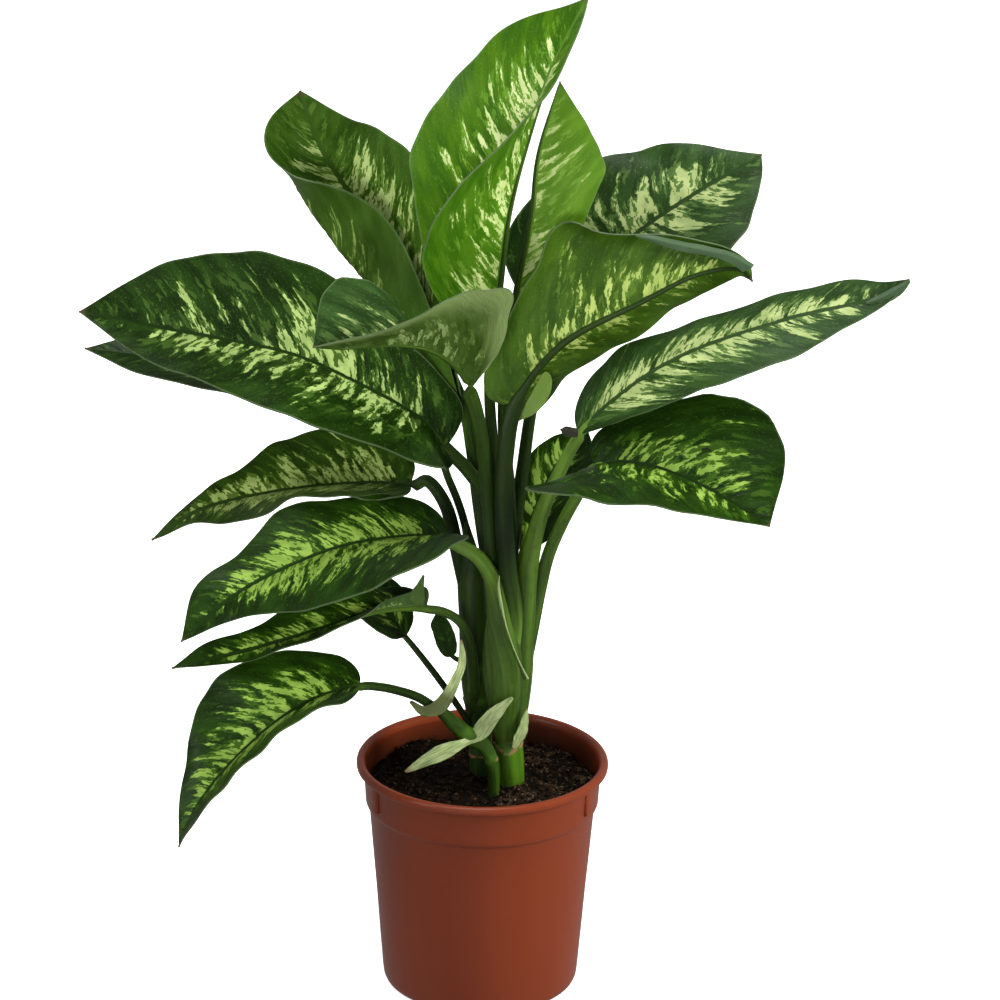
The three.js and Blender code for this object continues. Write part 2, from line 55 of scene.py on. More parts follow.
plant_middle = (0.0, 0.0, 0.3)
upper_leaves = (0.0, 0.0, 0.62)
for name, place, aim, size, spread, power, mirrored in (
    ("light_above", (-0.2, -0.6, 2.7), plant_middle, 1.4, 180, 46.0, True),
    ("light_right", (2.6, -0.7, 1.2), plant_middle, 1.2, 180, 108.0, False),
    ("light_left", (-2.3, -1.3, 1.3), plant_middle, 1.0, 180, 19.0, True),
    ("light_behind", (-0.9, 2.4, 1.5), plant_middle, 1.4, 180, 38.0, False),
    ("light_front", (-0.4, -1.9, 0.4), upper_leaves, 0.7, 44, 1.5, False),
):
    lamp = bpy.data.lights.new(name, "AREA")
    lamp.size = size
    lamp.energy = power
    lamp.spread = math.radians(spread)
    lamp_object = bpy.data.objects.new(name, lamp)
    lamp_object.location = place
    x, y, z = np.array(aim) - np.array(place)
    lamp_object.rotation_euler = (math.atan2(math.hypot(x, y), -z), 0.0, math.atan2(-x, y))
    lamp_object.visible_glossy = mirrored
    scene.collection.objects.link(lamp_object)

camera_distance = 3.0
camera_dip = math.radians(20.02)
camera_roll = math.radians(0.753)
aim_x = 0.0107
aim_z = 0.3865
picture_pixels = 1000
focal_pixels = 4071
camera = bpy.data.cameras.new("camera")
camera.sensor_width = 36.0
camera.lens = focal_pixels / picture_pixels * camera.sensor_width
camera.clip_start = 0.1
camera.clip_end = 60.0
camera_object = bpy.data.objects.new("camera", camera)
scene.collection.objects.link(camera_object)
camera_object.matrix_world = (
    Matrix.Translation((
        aim_x,
        -camera_distance * math.cos(camera_dip),
        aim_z + camera_distance * math.sin(camera_dip),
    ))
    @ Matrix.Rotation(math.pi / 2 - camera_dip, 4, "X")
    @ Matrix.Rotation(camera_roll, 4, "Z")
)
scene.camera = camera_object


def select_only(*pieces):
    """Selects these pieces and no others, the first of them active, in object mode."""
    if bpy.context.mode != "OBJECT":
        bpy.ops.object.mode_set(mode="OBJECT")
    bpy.ops.object.select_all(action="DESELECT")
    for piece in pieces:
        piece.select_set(True)
    if pieces:
        bpy.context.view_layer.objects.active = pieces[0]


class Finish:
    """A material as it is mixed. Each method adds nodes and gives back the socket that they end in."""

    def __init__(self, name):
        self.material = bpy.data.materials.new(name)
        self.material.use_nodes = True
        self.shader = self.material.node_tree.nodes["Principled BSDF"]

    def fill(self, node, inputs):
        """Gives each named input a plain value, a colour or another node's socket."""
        for key, value in inputs.items():
            socket = node.inputs[key]
            if isinstance(value, bpy.types.NodeSocket):
                self.material.node_tree.links.new(value, socket)
            elif socket.type == "RGBA":
                socket.default_value = (*value, 1)
            else:
                socket.default_value = value

    def step(self, kind, inputs, **settings):
        """Adds one node and gives back all its outputs."""
        node = self.material.node_tree.nodes.new(kind)
        for key, value in settings.items():
            setattr(node, key, value)
        self.fill(node, inputs)
        return node.outputs

    def surface(self, inputs):
        self.fill(self.shader, inputs)

    def here(self):
        return self.step("ShaderNodeTexCoord", {})["Object"]

    def stored(self, name):
        """The vector that the mesh stores under this name for each of its points."""
        return self.step("ShaderNodeAttribute", {}, attribute_name=name)["Vector"]

    def parts(self, vector):
        return self.step("ShaderNodeSeparateXYZ", {"Vector": vector})

    def scaled(self, place, scale):
        return self.step("ShaderNodeMapping", {"Vector": place, "Scale": scale})["Vector"]

    def maths(self, operation, a, b=0.0, c=0.0):
        return self.step("ShaderNodeMath", {0: a, 1: b, 2: c}, operation=operation)[0]

    def spread(self, value, low, high, out_low=0.0, out_high=1.0, kind="LINEAR"):
        """Carries low..high over to out_low..out_high and holds the ends."""
        return self.step("ShaderNodeMapRange", {
            "Value": value, "From Min": low, "From Max": high, "To Min": out_low, "To Max": out_high,
        }, interpolation_type=kind)["Result"]

    def noise(self, place, detail, roughness=0.5, scale=1.0):
        return self.step("ShaderNodeTexNoise", {
            "Vector": place, "Scale": scale, "Detail": detail, "Roughness": roughness})["Fac"]

    def blend(self, mask, a, b):
        return self.step("ShaderNodeMix", {0: mask, 6: a, 7: b}, data_type="RGBA")[2]

    def ramp(self, value, *stops):
        """Colour by value, from stops of a position and a colour."""
        colour = self.step("ShaderNodeValToRGB", {"Fac": value})["Color"]
        elements = colour.node.color_ramp.elements
        for element, (position, shade) in zip(elements, (stops[0], stops[-1])):
            element.position = position
            element.color = (*shade, 1)
        for position, shade in stops[1:-1]:
            elements.new(position).color = (*shade, 1)
        return colour

    def relief(self, height, strength, distance):
        bump = self.step("ShaderNodeBump", {"Strength": strength, "Distance": distance, "Height": height})
        self.surface({"Normal": bump["Normal"]})


select_only()
bpy.ops.mesh.primitive_circle_add(vertices=64, radius=9.0, fill_type="NGON", location=(0, 0, -0.0005))
floor = bpy.context.object
floor.name = "studio_floor"
bpy.ops.object.transform_apply(location=True, rotation=True, scale=True)
floor_paint = Finish("studio_floor")
grain = floor_paint.step("ShaderNodeTexNoise", {"Scale": 3.0, "Detail": 3.0})["Fac"]
floor_paint.surface({
    "Base Color": floor_paint.spread(grain, 0.0, 1.0, 0.9, 0.94),
    "Roughness": 0.9,
    "Emission Color": (1.0, 1.0, 1.0),
    "Emission Strength": 0.75,
})
floor.visible_glossy = False
floor.visible_diffuse = False
floor.data.materials.append(floor_paint.material)

# ---------------------------------------------------------------------------------------------
# The pot. A thin-walled nursery pot, injection moulded in brown plastic in one piece, with a
# rolled rim, a collar below it, three stacking lugs and drain holes in the floor. The outline
# gives radius and height in millimetres, up the outside and down the inside.
pot_outline = [
    (0, 0), (40, 0), (64, 0), (70.2, 0.3), (72.6, 1.6), (73.9, 4.4), (74.5, 9), (76.8, 38), (79.6, 75),
    (82.7, 112), (85.2, 142.6), (85.5, 143.6), (86.3, 144.6), (87.3, 145.3), (87.9, 146.6), (88.2, 150),
    (89.3, 171.2), (89.6, 172.3), (90.4, 172.9), (92.6, 173.0), (94.0, 173.4), (94.8, 174.4), (95.0, 175.6),
    (95.0, 176.8), (94.7, 178.2), (93.9, 179.4), (92.7, 180), (91.3, 180), (90.0, 179.5), (89.0, 178.4),
    (88.3, 176.0), (87.5, 170), (86.6, 150), (86.1, 147.2), (85.2, 146), (84.2, 145), (83.6, 143.4),
    (83.2, 140), (80.9, 112), (77.8, 75), (75.0, 38), (72.9, 10), (72.4, 6), (71.2, 3.4), (68, 2.4),
    (30, 2.4), (0, 2.4),
]


def turn_faces_out():
    """Makes all faces of the mesh in edit mode point outwards, and goes back to object mode."""
    bpy.ops.mesh.select_all(action="SELECT")
    bpy.ops.mesh.normals_make_consistent(inside=False)
    bpy.ops.object.mode_set(mode="OBJECT")


profile_mesh = bpy.data.meshes.new("pot_shell")
profile_mesh.from_pydata(
    [(r / 1000, 0.0, z / 1000) for r, z in pot_outline],
    [(i, i + 1) for i in range(len(pot_outline) - 1)], [])
pot_shell = bpy.data.objects.new("pot_shell", profile_mesh)
scene.collection.objects.link(pot_shell)
select_only(pot_shell)
bpy.ops.object.mode_set(mode="EDIT")
bpy.ops.mesh.select_all(action="SELECT")
bpy.ops.mesh.spin(steps=160, angle=2 * math.pi, center=(0, 0, 0), axis=(0, 0, 1))
bpy.ops.mesh.select_all(action="SELECT")
bpy.ops.mesh.remove_doubles(threshold=0.00001)
turn_faces_out()

drain_holes = 6
drain_radius = 0.0045
drain_ring = 0.050
for k in range(drain_holes):
    turn = 2 * math.pi * (k + 0.5) / drain_holes
    select_only()
    bpy.ops.mesh.primitive_cylinder_add(
        vertices=32, radius=drain_radius, depth=0.012,
        location=(drain_ring * math.cos(turn), drain_ring * math.sin(turn), 0.001))
    drill = bpy.context.object
    cut = pot_shell.modifiers.new("drain", "BOOLEAN")
    cut.object = drill
    cut.solver = "EXACT"
    select_only(pot_shell)
    bpy.ops.object.modifier_apply(modifier="drain")
    bpy.data.objects.remove(drill)

lug_size = (0.0090, 0.0046, 0.0215)
lug_place = (0, -0.0881, 0.1625)
wall_slope = math.radians(-1.2)
for turn in (-63, 63, 180):
    select_only()
    bpy.ops.mesh.primitive_cube_add(size=1.0, location=(0, 0, 0))
    lug = bpy.context.object
    lug.scale = lug_size
    lug.location = lug_place
    lug.rotation_euler = (wall_slope, 0, 0)
    bpy.ops.object.transform_apply(location=True, rotation=True, scale=True)
    lug.data.transform(Matrix.Rotation(math.radians(turn), 4, "Z"))
    soften = lug.modifiers.new("soften", "BEVEL")
    soften.width = 0.0012
    soften.segments = 3
    bpy.ops.object.modifier_apply(modifier="soften")
    select_only(pot_shell, lug)
    bpy.ops.object.join()

select_only(pot_shell)
bpy.ops.object.shade_smooth_by_angle(angle=math.radians(38))

# Smooth brown plastic: a faint flow pattern from the mould and fine scuffs. The inner wall above
# the filling is darkened by a third all the way up, as painted shade inside the pot, and by up to
# nine tenths near the filling, partly damp mix clinging there and partly painted shade.
inner_wall = 0.0881
filling_edge = 0.150
pot_plastic = Finish("pot_plastic")
here = pot_plastic.here()
flow = pot_plastic.noise(pot_plastic.scaled(here, (9.0, 9.0, 2.2)), 4.0, 0.55)
scuffs = pot_plastic.noise(pot_plastic.scaled(here, (160.0, 160.0, 700.0)), 5.0, 0.7)
brown = pot_plastic.ramp(flow, (0.3, (0.155, 0.0245, 0.0060)), (0.72, (0.190, 0.0325, 0.0090)))
brown = pot_plastic.blend(pot_plastic.spread(scuffs, 0.62, 0.8, 0.0, 0.35), brown, (0.29, 0.085, 0.042))
height = pot_plastic.parts(here)[2]
level = pot_plastic.step("ShaderNodeVectorMath", {0: here, 1: (1.0, 1.0, 0.0)}, operation="MULTIPLY")
from_axis = pot_plastic.step("ShaderNodeVectorMath", {0: level["Vector"]}, operation="LENGTH")
inside = pot_plastic.maths("LESS_THAN", from_axis["Value"], inner_wall)
above = pot_plastic.maths("GREATER_THAN", height, filling_edge)
# Painted shade on the inner wall: darkened a third up to the rim, and up to nine tenths near the filling,
# where damp mix also clings.
splash_and_shade = pot_plastic.maths("MULTIPLY_ADD", flow, -0.016, height)
splash_and_shade = pot_plastic.spread(splash_and_shade, filling_edge, filling_edge + 0.022, 0.9, 0.32)
damp_and_shade = pot_plastic.maths("MULTIPLY", pot_plastic.maths("MULTIPLY", inside, above), splash_and_shade)
pot_plastic.surface({
    "Base Color": pot_plastic.blend(damp_and_shade, brown, (0.022, 0.008, 0.004)),
    "Roughness": pot_plastic.spread(scuffs, 0.3, 0.8, 0.3, 0.44),
    "Specular IOR Level": 0.34,
})
pot_plastic.relief(flow, 0.12, 0.0004)
pot_shell.data.materials.clear()
pot_shell.data.materials.append(pot_plastic.material)
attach(pot_shell, "root")
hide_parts("pot")

# ---------------------------------------------------------------------------------------------
# The potting mix. Peat and bark filled in loose to 20 mm below the rim, pressed lower at the
# wall, with crumbs and fibres of coir lying on it.
mix_radius = 0.0852
mix_top = 0.1592


def wave_noise(x, y, seed, size):
    """Smooth repeatable unevenness from a few turned sine waves, about -1 to 1."""
    draw = np.random.RandomState(seed)
    total = np.zeros_like(x)
    for octave in range(3):
        reach = size / 1.9 ** octave
        for _ in range(4):
            turn, phase = draw.uniform(0, 2 * math.pi, 2)
            step = draw.uniform(0.7, 1.4) * 2 * math.pi / reach
            total += np.sin((x * math.cos(turn) + y * math.sin(turn)) * step + phase) * 0.5 / 1.7 ** octave
    return total / 2


def mix_height(x, y):
    """Height of the mix over a place in the pot, in metres."""
    edge = np.clip((np.hypot(x, y) - 0.066) / 0.020, 0, 1) ** 2
    lumps = 0.0022 * wave_noise(x, y, 3, 0.045) + 0.0010 * wave_noise(x, y, 4, 0.012)
    banked = 0.004 * np.exp(-(((x + 0.055) / 0.03) ** 2 + ((y - 0.055) / 0.03) ** 2))
    return mix_top + lumps + banked + 0.0012 * (1 - edge) - 0.0008 * edge


def coordinates(mesh):
    co = np.empty(len(mesh.vertices) * 3)
    mesh.vertices.foreach_get("co", co)
    return co.reshape(-1, 3)


def set_coordinates(mesh, co):
    mesh.vertices.foreach_set("co", np.asarray(co, dtype=np.float32).ravel())
    mesh.update()


# A square grid drawn out to a disc, laid to the mix's height, with sides and a flat underside.
select_only()
bpy.ops.mesh.primitive_grid_add(x_subdivisions=150, y_subdivisions=150, size=2.0, location=(0, 0, 0))
potting_mix = bpy.context.object
potting_mix.name = "potting_mix"
flat = coordinates(potting_mix.data)
grid_x, grid_y = flat[:, 0], flat[:, 1]
disc_x = mix_radius * grid_x * np.sqrt(1 - grid_y * grid_y / 2)
disc_y = mix_radius * grid_y * np.sqrt(1 - grid_x * grid_x / 2)
set_coordinates(potting_mix.data, np.stack([disc_x, disc_y, mix_height(disc_x, disc_y)], 1))
bpy.ops.object.mode_set(mode="EDIT")
bpy.ops.mesh.select_all(action="DESELECT")
bpy.ops.mesh.select_mode(type="EDGE")
bpy.ops.mesh.select_non_manifold()
for drop, taper in ((-0.012, 0.998), (-0.0035, 0.978), (-0.130, 0.872), (-0.006, 0.94)):
    bpy.ops.mesh.extrude_edges_move(TRANSFORM_OT_translate={"value": (0, 0, drop)})
    bpy.ops.transform.resize(value=(taper, taper, 1.0), center_override=(0, 0, 0))
bpy.ops.mesh.edge_face_add()
turn_faces_out()

# Crumbs of bark and peat, half sunk, and bent coir fibres. Bark and coir lie mostly on the right.
crumb_count = 1250
crumb_reach = 0.084
fibre_count = 560
fibre_steps = 6
fibre_foot_reach = 0.083
fibre_reach = 0.0838
bark_from = 0.012
draw = np.random.RandomState(5)


def random_place(reach):
    """An evenly drawn place on the mix, no further than reach from the pot's axis."""
    r = reach * math.sqrt(draw.uniform())
    turn = draw.uniform(0, 2 * math.pi)
    return r * math.cos(turn), r * math.sin(turn)


def height_at(x, y):
    return float(mix_height(np.array(x), np.array(y)))


crumb_points, crumb_faces, crumb_kinds = [], [], []
select_only()
bpy.ops.mesh.primitive_ico_sphere_add(subdivisions=1, radius=1.0, location=(0, 0, 0))
pebble = bpy.context.object
pebble_co = coordinates(pebble.data)
pebble_faces = [tuple(p.vertices) for p in pebble.data.polygons]
bpy.data.objects.remove(pebble)
for _ in range(crumb_count):
    x, y = random_place(crumb_reach)
    big = draw.uniform() ** 3
    stretch = 1.0 + draw.uniform(0.0, 2.6) * (x > bark_from)
    size = np.array([stretch, draw.uniform(0.5, 0.95), draw.uniform(0.35, 0.8)]) * (
        0.0007 + 0.0030 * big) / stretch ** 0.4 * (1.35 if stretch > 1 else 1.0)
    co = pebble_co * size * (1 + draw.uniform(-0.28, 0.28, pebble_co.shape))
    spin = np.array((
        Matrix.Rotation(draw.uniform(0, 6.28), 3, "Z") @ Matrix.Rotation(draw.uniform(-0.6, 0.6), 3, "X")))
    base = len(crumb_points)
    crumb_points += [tuple(p) for p in co @ spin.T + (x, y, height_at(x, y) + size[2] * 0.3)]
    crumb_faces += [tuple(base + i for i in f) for f in pebble_faces]
    crumb_kinds += [int(stretch > 1.4)] * len(pebble_faces)
for _ in range(fibre_count):
    x, y = random_place(fibre_foot_reach)
    kind = int(x > bark_from)
    heading = draw.uniform(0, 2 * math.pi)
    curl = draw.uniform(-180, 180)
    length = draw.uniform(0.003, 0.011)
    thick = draw.uniform(0.00016, 0.00042)
    rise = draw.uniform(0.0, 0.55)
    base = len(crumb_points)
    for i in range(fibre_steps + 1):
        bow = rise * length * math.sin(math.pi * i / fibre_steps) * 0.8
        reach = math.hypot(x, y)
        if reach > fibre_reach:
            x, y = x * fibre_reach / reach, y * fibre_reach / reach
        middle = np.array([x, y, height_at(x, y) + bow + 0.0002])
        side = np.array([-math.sin(heading), math.cos(heading), 0.0])
        for quarter in range(4):
            a = math.pi / 2 * quarter
            offset = thick * (math.cos(a) * side + math.sin(a) * np.array([0, 0, 1.0]))
            crumb_points.append(tuple(middle + offset))
        heading += curl * length / fibre_steps
        x += math.cos(heading) * length / fibre_steps
        y += math.sin(heading) * length / fibre_steps
    for i in range(fibre_steps):
        for j in range(4):
            a, b = base + 4 * i + j, base + 4 * i + (j + 1) % 4
            crumb_faces.append((a, a + 4, b + 4, b))
    crumb_faces.append((base, base + 1, base + 2, base + 3))
    end = base + 4 * fibre_steps
    crumb_faces.append((end + 3, end + 2, end + 1, end))
    crumb_kinds += [kind] * (4 * fibre_steps + 2)
crumb_mesh = bpy.data.meshes.new("crumbs_and_fibres")
crumb_mesh.from_pydata(crumb_points, [], crumb_faces)
crumb_mesh.polygons.foreach_set("material_index", crumb_kinds)
crumbs = bpy.data.objects.new("crumbs_and_fibres", crumb_mesh)
scene.collection.objects.link(crumbs)
select_only(crumbs)
bpy.ops.object.mode_set(mode="EDIT")
turn_faces_out()


def mix_material(name, dark, light, fleck, fleck_from):
    """Damp peat: near black with brown crumbs and a few pale flecks."""
    peat = Finish(name)
    here = peat.here()
    lumps = peat.noise(here, 6.0, 0.7, 260.0)
    flecks = peat.spread(peat.noise(here, 2.0, 0.5, 520.0), fleck_from, fleck_from + 0.05)
    peat.surface({
        "Base Color": peat.blend(flecks, peat.ramp(lumps, (0.38, dark), (0.72, light)), fleck),
        "Roughness": 0.9,
        "Specular IOR Level": 0.12,
    })
    peat.relief(lumps, 0.9, 0.0012)
    return peat.material


potting_mix.data.materials.append(
    mix_material("damp_peat", (0.0020, 0.0013, 0.0006), (0.0105, 0.0060, 0.0030), (0.05, 0.030, 0.016), 0.70))
crumbs.data.materials.append(
    mix_material("peat_crumbs", (0.0045, 0.0026, 0.0012), (0.030, 0.017, 0.009), (0.13, 0.085, 0.05), 0.66))
crumbs.data.materials.append(
    mix_material("bark_and_coir", (0.014, 0.0075, 0.0034), (0.085, 0.050, 0.028), (0.24, 0.17, 0.11), 0.62))
for piece in (potting_mix, crumbs):
    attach(piece, "root")
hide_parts("soil")

# ---------------------------------------------------------------------------------------------
# The canes. Fleshy green stems, round in section, ringed by the scars of fallen leaves: the main
# one on the right, a darker one on the left, and a thin side shoot that bends out in front. The
# left cane and the side shoot are made darker as painted shade, for the shadow they stand in.
# points, radii: centre line and radius from the foot up, in millimetres; tone: how light the
# skin is, set lower on the left cane and the side stem as painted shade; foot: how much lighter
# below the lowest ring; dip: how far the rings sink in front; rings: the height, swelling, cork
# and paleness of each scar.
cane_table = [
    dict(name="main_cane", node="cane_main", seed=3.0, tone=-0.06, foot=0.12, dip=7,
         points=[(23, -5, 122), (22, -4, 160), (20, -2, 190), (17, 1, 230), (14, 3, 270), (10, 4, 315),
                 (7, 4, 358)],
         radii=[10, 10, 10.3, 8, 9, 10, 9.5, 2],
         rings=[(195, 0.7, 1.0, 0.1), (222, 0.9, 0.0, 0.35), (245, 0.5, 0.0, 0.1)]),
    # The left cane's tone is lower than the main cane's as painted shade: it stands behind, in shadow.
    dict(name="left_cane", node="cane_left", seed=5.0, tone=-0.16, foot=0.0, dip=0,
         points=[(-1, 14, 122), (-1, 14, 158), (-2, 16, 190), (-6, 19, 236), (-8, 22, 290), (-14, 23, 360)],
         radii=[8, 8.5, 9, 11, 11.5, 10, 1.5],
         rings=[(176, 0.6, 0.8, 0.0), (197, 0.7, 0.5, 0.1), (219, 0.7, 0.2, 0.1), (246, 0.7, 0.0, 0.1)]),
    # The side stem's tone is as low, painted shade for the shadow of the leaves over it.
    dict(name="side_stem", node="side_shoot", seed=7.0, tone=-0.16, foot=0.0, dip=0,
         points=[(8, -24, 130), (9, -24, 165), (8, -24, 184), (1, -23, 199), (-14, -23, 210),
                 (-36, -28, 234)],
         radii=[4, 4, 4.4, 5.2, 6.4, 5.6, 3.3],
         rings=[(187, 0.4, 0.5, 0.1), (206, 0.5, 0.0, 0.2)]),
]


def eased(values, t):
    """Value at t on a smooth curve through a list spread evenly over 0..1."""
    values = np.asarray(values, dtype=float)
    if len(values) < 2:
        return np.full(np.shape(t), values[0])
    x = np.clip(t, 0, 1) * (len(values) - 1)
    i = np.minimum(np.floor(x).astype(int), len(values) - 2)
    f = x - i
    p = np.concatenate([[2 * values[0] - values[1]], values, [2 * values[-1] - values[-2]]])
    a, b, c, d = p[i], p[i + 1], p[i + 2], p[i + 3]
    return b + 0.5 * f * (c - a + f * (2 * a - 5 * b + 4 * c - d + f * (3 * (b - c) + d - a)))


def unit(v):
    return v / np.maximum(np.linalg.norm(v, axis=-1, keepdims=True), 1e-12)


class SmoothLine:
    """A smooth line through points, in millimetres. Past its first ones (lead) it is a blade's midrib."""

    def __init__(self, points, lead=0):
        pieces = 60
        self.points = np.asarray(points, dtype=float)
        self.t = np.linspace(0, 1, pieces * (len(self.points) - 1) + 1)
        steps = np.linalg.norm(np.diff(self.at_t(self.t), axis=0), axis=1)
        self.lengths = np.concatenate([[0], np.cumsum(steps)])
        self.length = self.lengths[-1]
        self.start = self.lengths[pieces * lead] / self.length
        self.blade_length = self.length * (1 - self.start)

    def at_t(self, t):
        p = self.points
        p = np.vstack([2 * p[0] - p[1], p, 2 * p[-1] - p[-2]])
        x = np.clip(t, 0, 1) * (len(self.points) - 1)
        i = np.minimum(np.floor(x).astype(int), len(self.points) - 2)
        w = (x - i)[..., None]
        a, b, c, d = p[i], p[i + 1], p[i + 2], p[i + 3]
        ab, bc, cd = (np.sqrt(np.linalg.norm(step, axis=-1))[..., None] for step in (b - a, c - b, d - c))
        u = ((b - a) / ab - (c - a) / (ab + bc) + (c - b) / bc) * bc
        v = ((c - b) / bc - (d - b) / (bc + cd) + (d - c) / cd) * bc
        return b + u * w + (-3 * b + 3 * c - 2 * u - v) * w ** 2 + (2 * b - 2 * c + u + v) * w ** 3

    def t_of(self, at):
        return np.interp(np.clip(at, 0, 1) * self.length, self.lengths, self.t)

    def point(self, at):
        return self.at_t(self.t_of(at))

    def along(self, at):
        t = self.t_of(at)
        return unit(self.at_t(np.minimum(t + 1e-4, 1)) - self.at_t(np.maximum(t - 1e-4, 0)))


def add_values(mesh, name, *values):
    """Stores three values for each point of the mesh, which its material reads."""
    store = mesh.attributes.new(name, "FLOAT_VECTOR", "POINT")
    store.data.foreach_set("vector", np.stack(np.broadcast_arrays(*values), 1).astype(np.float32).ravel())


def ringed_rod(name, sides, rings):
    """A cylinder divided into rings; returns it with each point's place along and angle round it."""
    select_only()
    bpy.ops.mesh.primitive_cylinder_add(
        vertices=sides, radius=1.0, depth=1.0, end_fill_type="NGON", location=(0, 0, 0))
    rod = bpy.context.object
    rod.name = name
    bpy.ops.object.mode_set(mode="EDIT")
    bpy.ops.mesh.select_all(action="DESELECT")
    bpy.ops.object.mode_set(mode="OBJECT")
    co = coordinates(rod.data)
    for edge in rod.data.edges:
        a, b = edge.vertices
        edge.select = bool(abs(co[a][2] - co[b][2]) > 0.5)
    bpy.context.tool_settings.mesh_select_mode = (False, True, False)
    bpy.ops.object.mode_set(mode="EDIT")
    bpy.ops.mesh.subdivide(number_cuts=rings - 1)
    bpy.ops.object.mode_set(mode="OBJECT")
    co = coordinates(rod.data)
    return rod, np.clip(co[:, 2] + 0.5, 0, 1), np.arctan2(co[:, 1], co[:, 0])


def wrap(rod, middle, angle, radius, right, up):
    """Moves a rod's points to their angle round a centre line, as far out as the radius says."""
    around = np.cos(angle)[:, None] * right + np.sin(angle)[:, None] * up
    set_coordinates(rod.data, (middle + radius[:, None] * around) / 1000)


def lay_rod(rod, line, at, angle, radius):
    along = line.along(at)
    right = unit(np.cross(along, np.array([0.0, 1.0, 0.0])))
    wrap(rod, line.point(at), angle, radius, right, np.cross(right, along))


def stem_material(name, dark, middle, pale, scar=(0.2, 0.2, 0.1), stripe=0.35):
    """A fleshy stem: blotched green, streaked along its length, with corky rings where told."""
    stem = Finish(name)
    run = stem.stored("run")
    tone, scarred, _ = stem.parts(stem.stored("tint"))
    streaks = stem.noise(stem.scaled(run, (0.012, 0.17, 1.0)), 4.0, 0.6)
    blotches = stem.noise(stem.scaled(run, (0.16, 0.22, 1.0)), 3.0)
    lightness = stem.maths("ADD", stem.spread(streaks, 0.0, 1.0, 0.25, 0.75), tone)
    colour = stem.ramp(lightness, (0.30, dark), (0.60, middle), (0.95, pale))
    colour = stem.blend(stem.spread(blotches, 0.55, 0.72, 0.0, stripe), colour, dark)
    cork = stem.maths("ADD", scarred, stem.maths("MULTIPLY_ADD", blotches, 1.6, -0.86))
    stem.surface({
        "Base Color": stem.blend(stem.spread(cork, 0.45, 0.62), colour, scar),
        "Roughness": stem.spread(blotches, 0.0, 1.0, 0.38, 0.58),
        "Specular IOR Level": 0.32,
    })
    stem.relief(streaks, 0.18, 0.0004)
    return stem.material


cane_skin = stem_material(
    "cane_skin", (0.012, 0.030, 0.003), (0.055, 0.135, 0.006), (0.190, 0.370, 0.018), (0.22, 0.13, 0.055))
for stem in cane_table:
    line = SmoothLine(stem["points"])
    cane, at, angle = ringed_rod(stem["name"], 40, int(line.length / 1.6))
    mm = at * line.length
    seed = stem["seed"]
    level = line.point(at)[:, 2] + 1.2 * np.sin(angle + seed) + 0.5 * np.sin(angle * 5 + seed)
    level = level + stem["dip"] * (1 - np.abs(np.sin((angle + 1.4) / 2)) ** 0.8)
    radius = eased(stem["radii"], at)
    scar, pale = np.zeros_like(radius), np.zeros_like(radius)
    for ring_level, swell, cork, light in stem["rings"]:
        above = level - ring_level
        radius = radius + swell * np.exp(-(above / 2.2) ** 2) - 0.35 * np.exp(-((above - 3.4) / 1.2) ** 2)
        scar += cork * np.exp(-(above / 2.0) ** 2)
        pale += light * np.exp(-((above - 2.0) / 3.0) ** 2)
    radius = radius * (1 + 0.012 * np.sin(3 * angle + mm / 14) + 0.008 * np.sin(7 * angle - mm / 9))
    lay_rod(cane, line, at, angle, radius)
    add_values(cane.data, "run", mm, radius * angle, seed)
    low = np.clip(1 - (level - 193) / 5, 0, 1)
    add_values(cane.data, "tint", stem["tone"] + stem["foot"] * low + pale, scar, 0)
    bpy.ops.object.shade_smooth_by_angle(angle=math.radians(50))
    cane.data.materials.append(cane_skin)
    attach(cane, "root")
    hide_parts(stem["node"])

# The tip of an emptied leaf sheath that stands up beside the right-hand stalks.
spent_line = SmoothLine([(22, 11, 298), (28, 14.5, 334), (31, 17, 362)])
spent, at, angle = ringed_rod("spent_sheath", 24, 30)
radius = eased([5, 4.5, 1], at) * (1 - 0.2 * np.exp(-((angle - 0.6) / 0.5) ** 2))
lay_rod(spent, spent_line, at, angle, radius)
add_values(spent.data, "run", at * spent_line.length, radius * angle, 9.0)
add_values(spent.data, "tint", 0.05 + 0.3 * at ** 3, 0.5 * at ** 6, 0)
bpy.ops.object.shade_smooth_by_angle(angle=math.radians(50))
spent.data.materials.append(cane_skin)
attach(spent, "root")
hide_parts("spent_sheath_right")

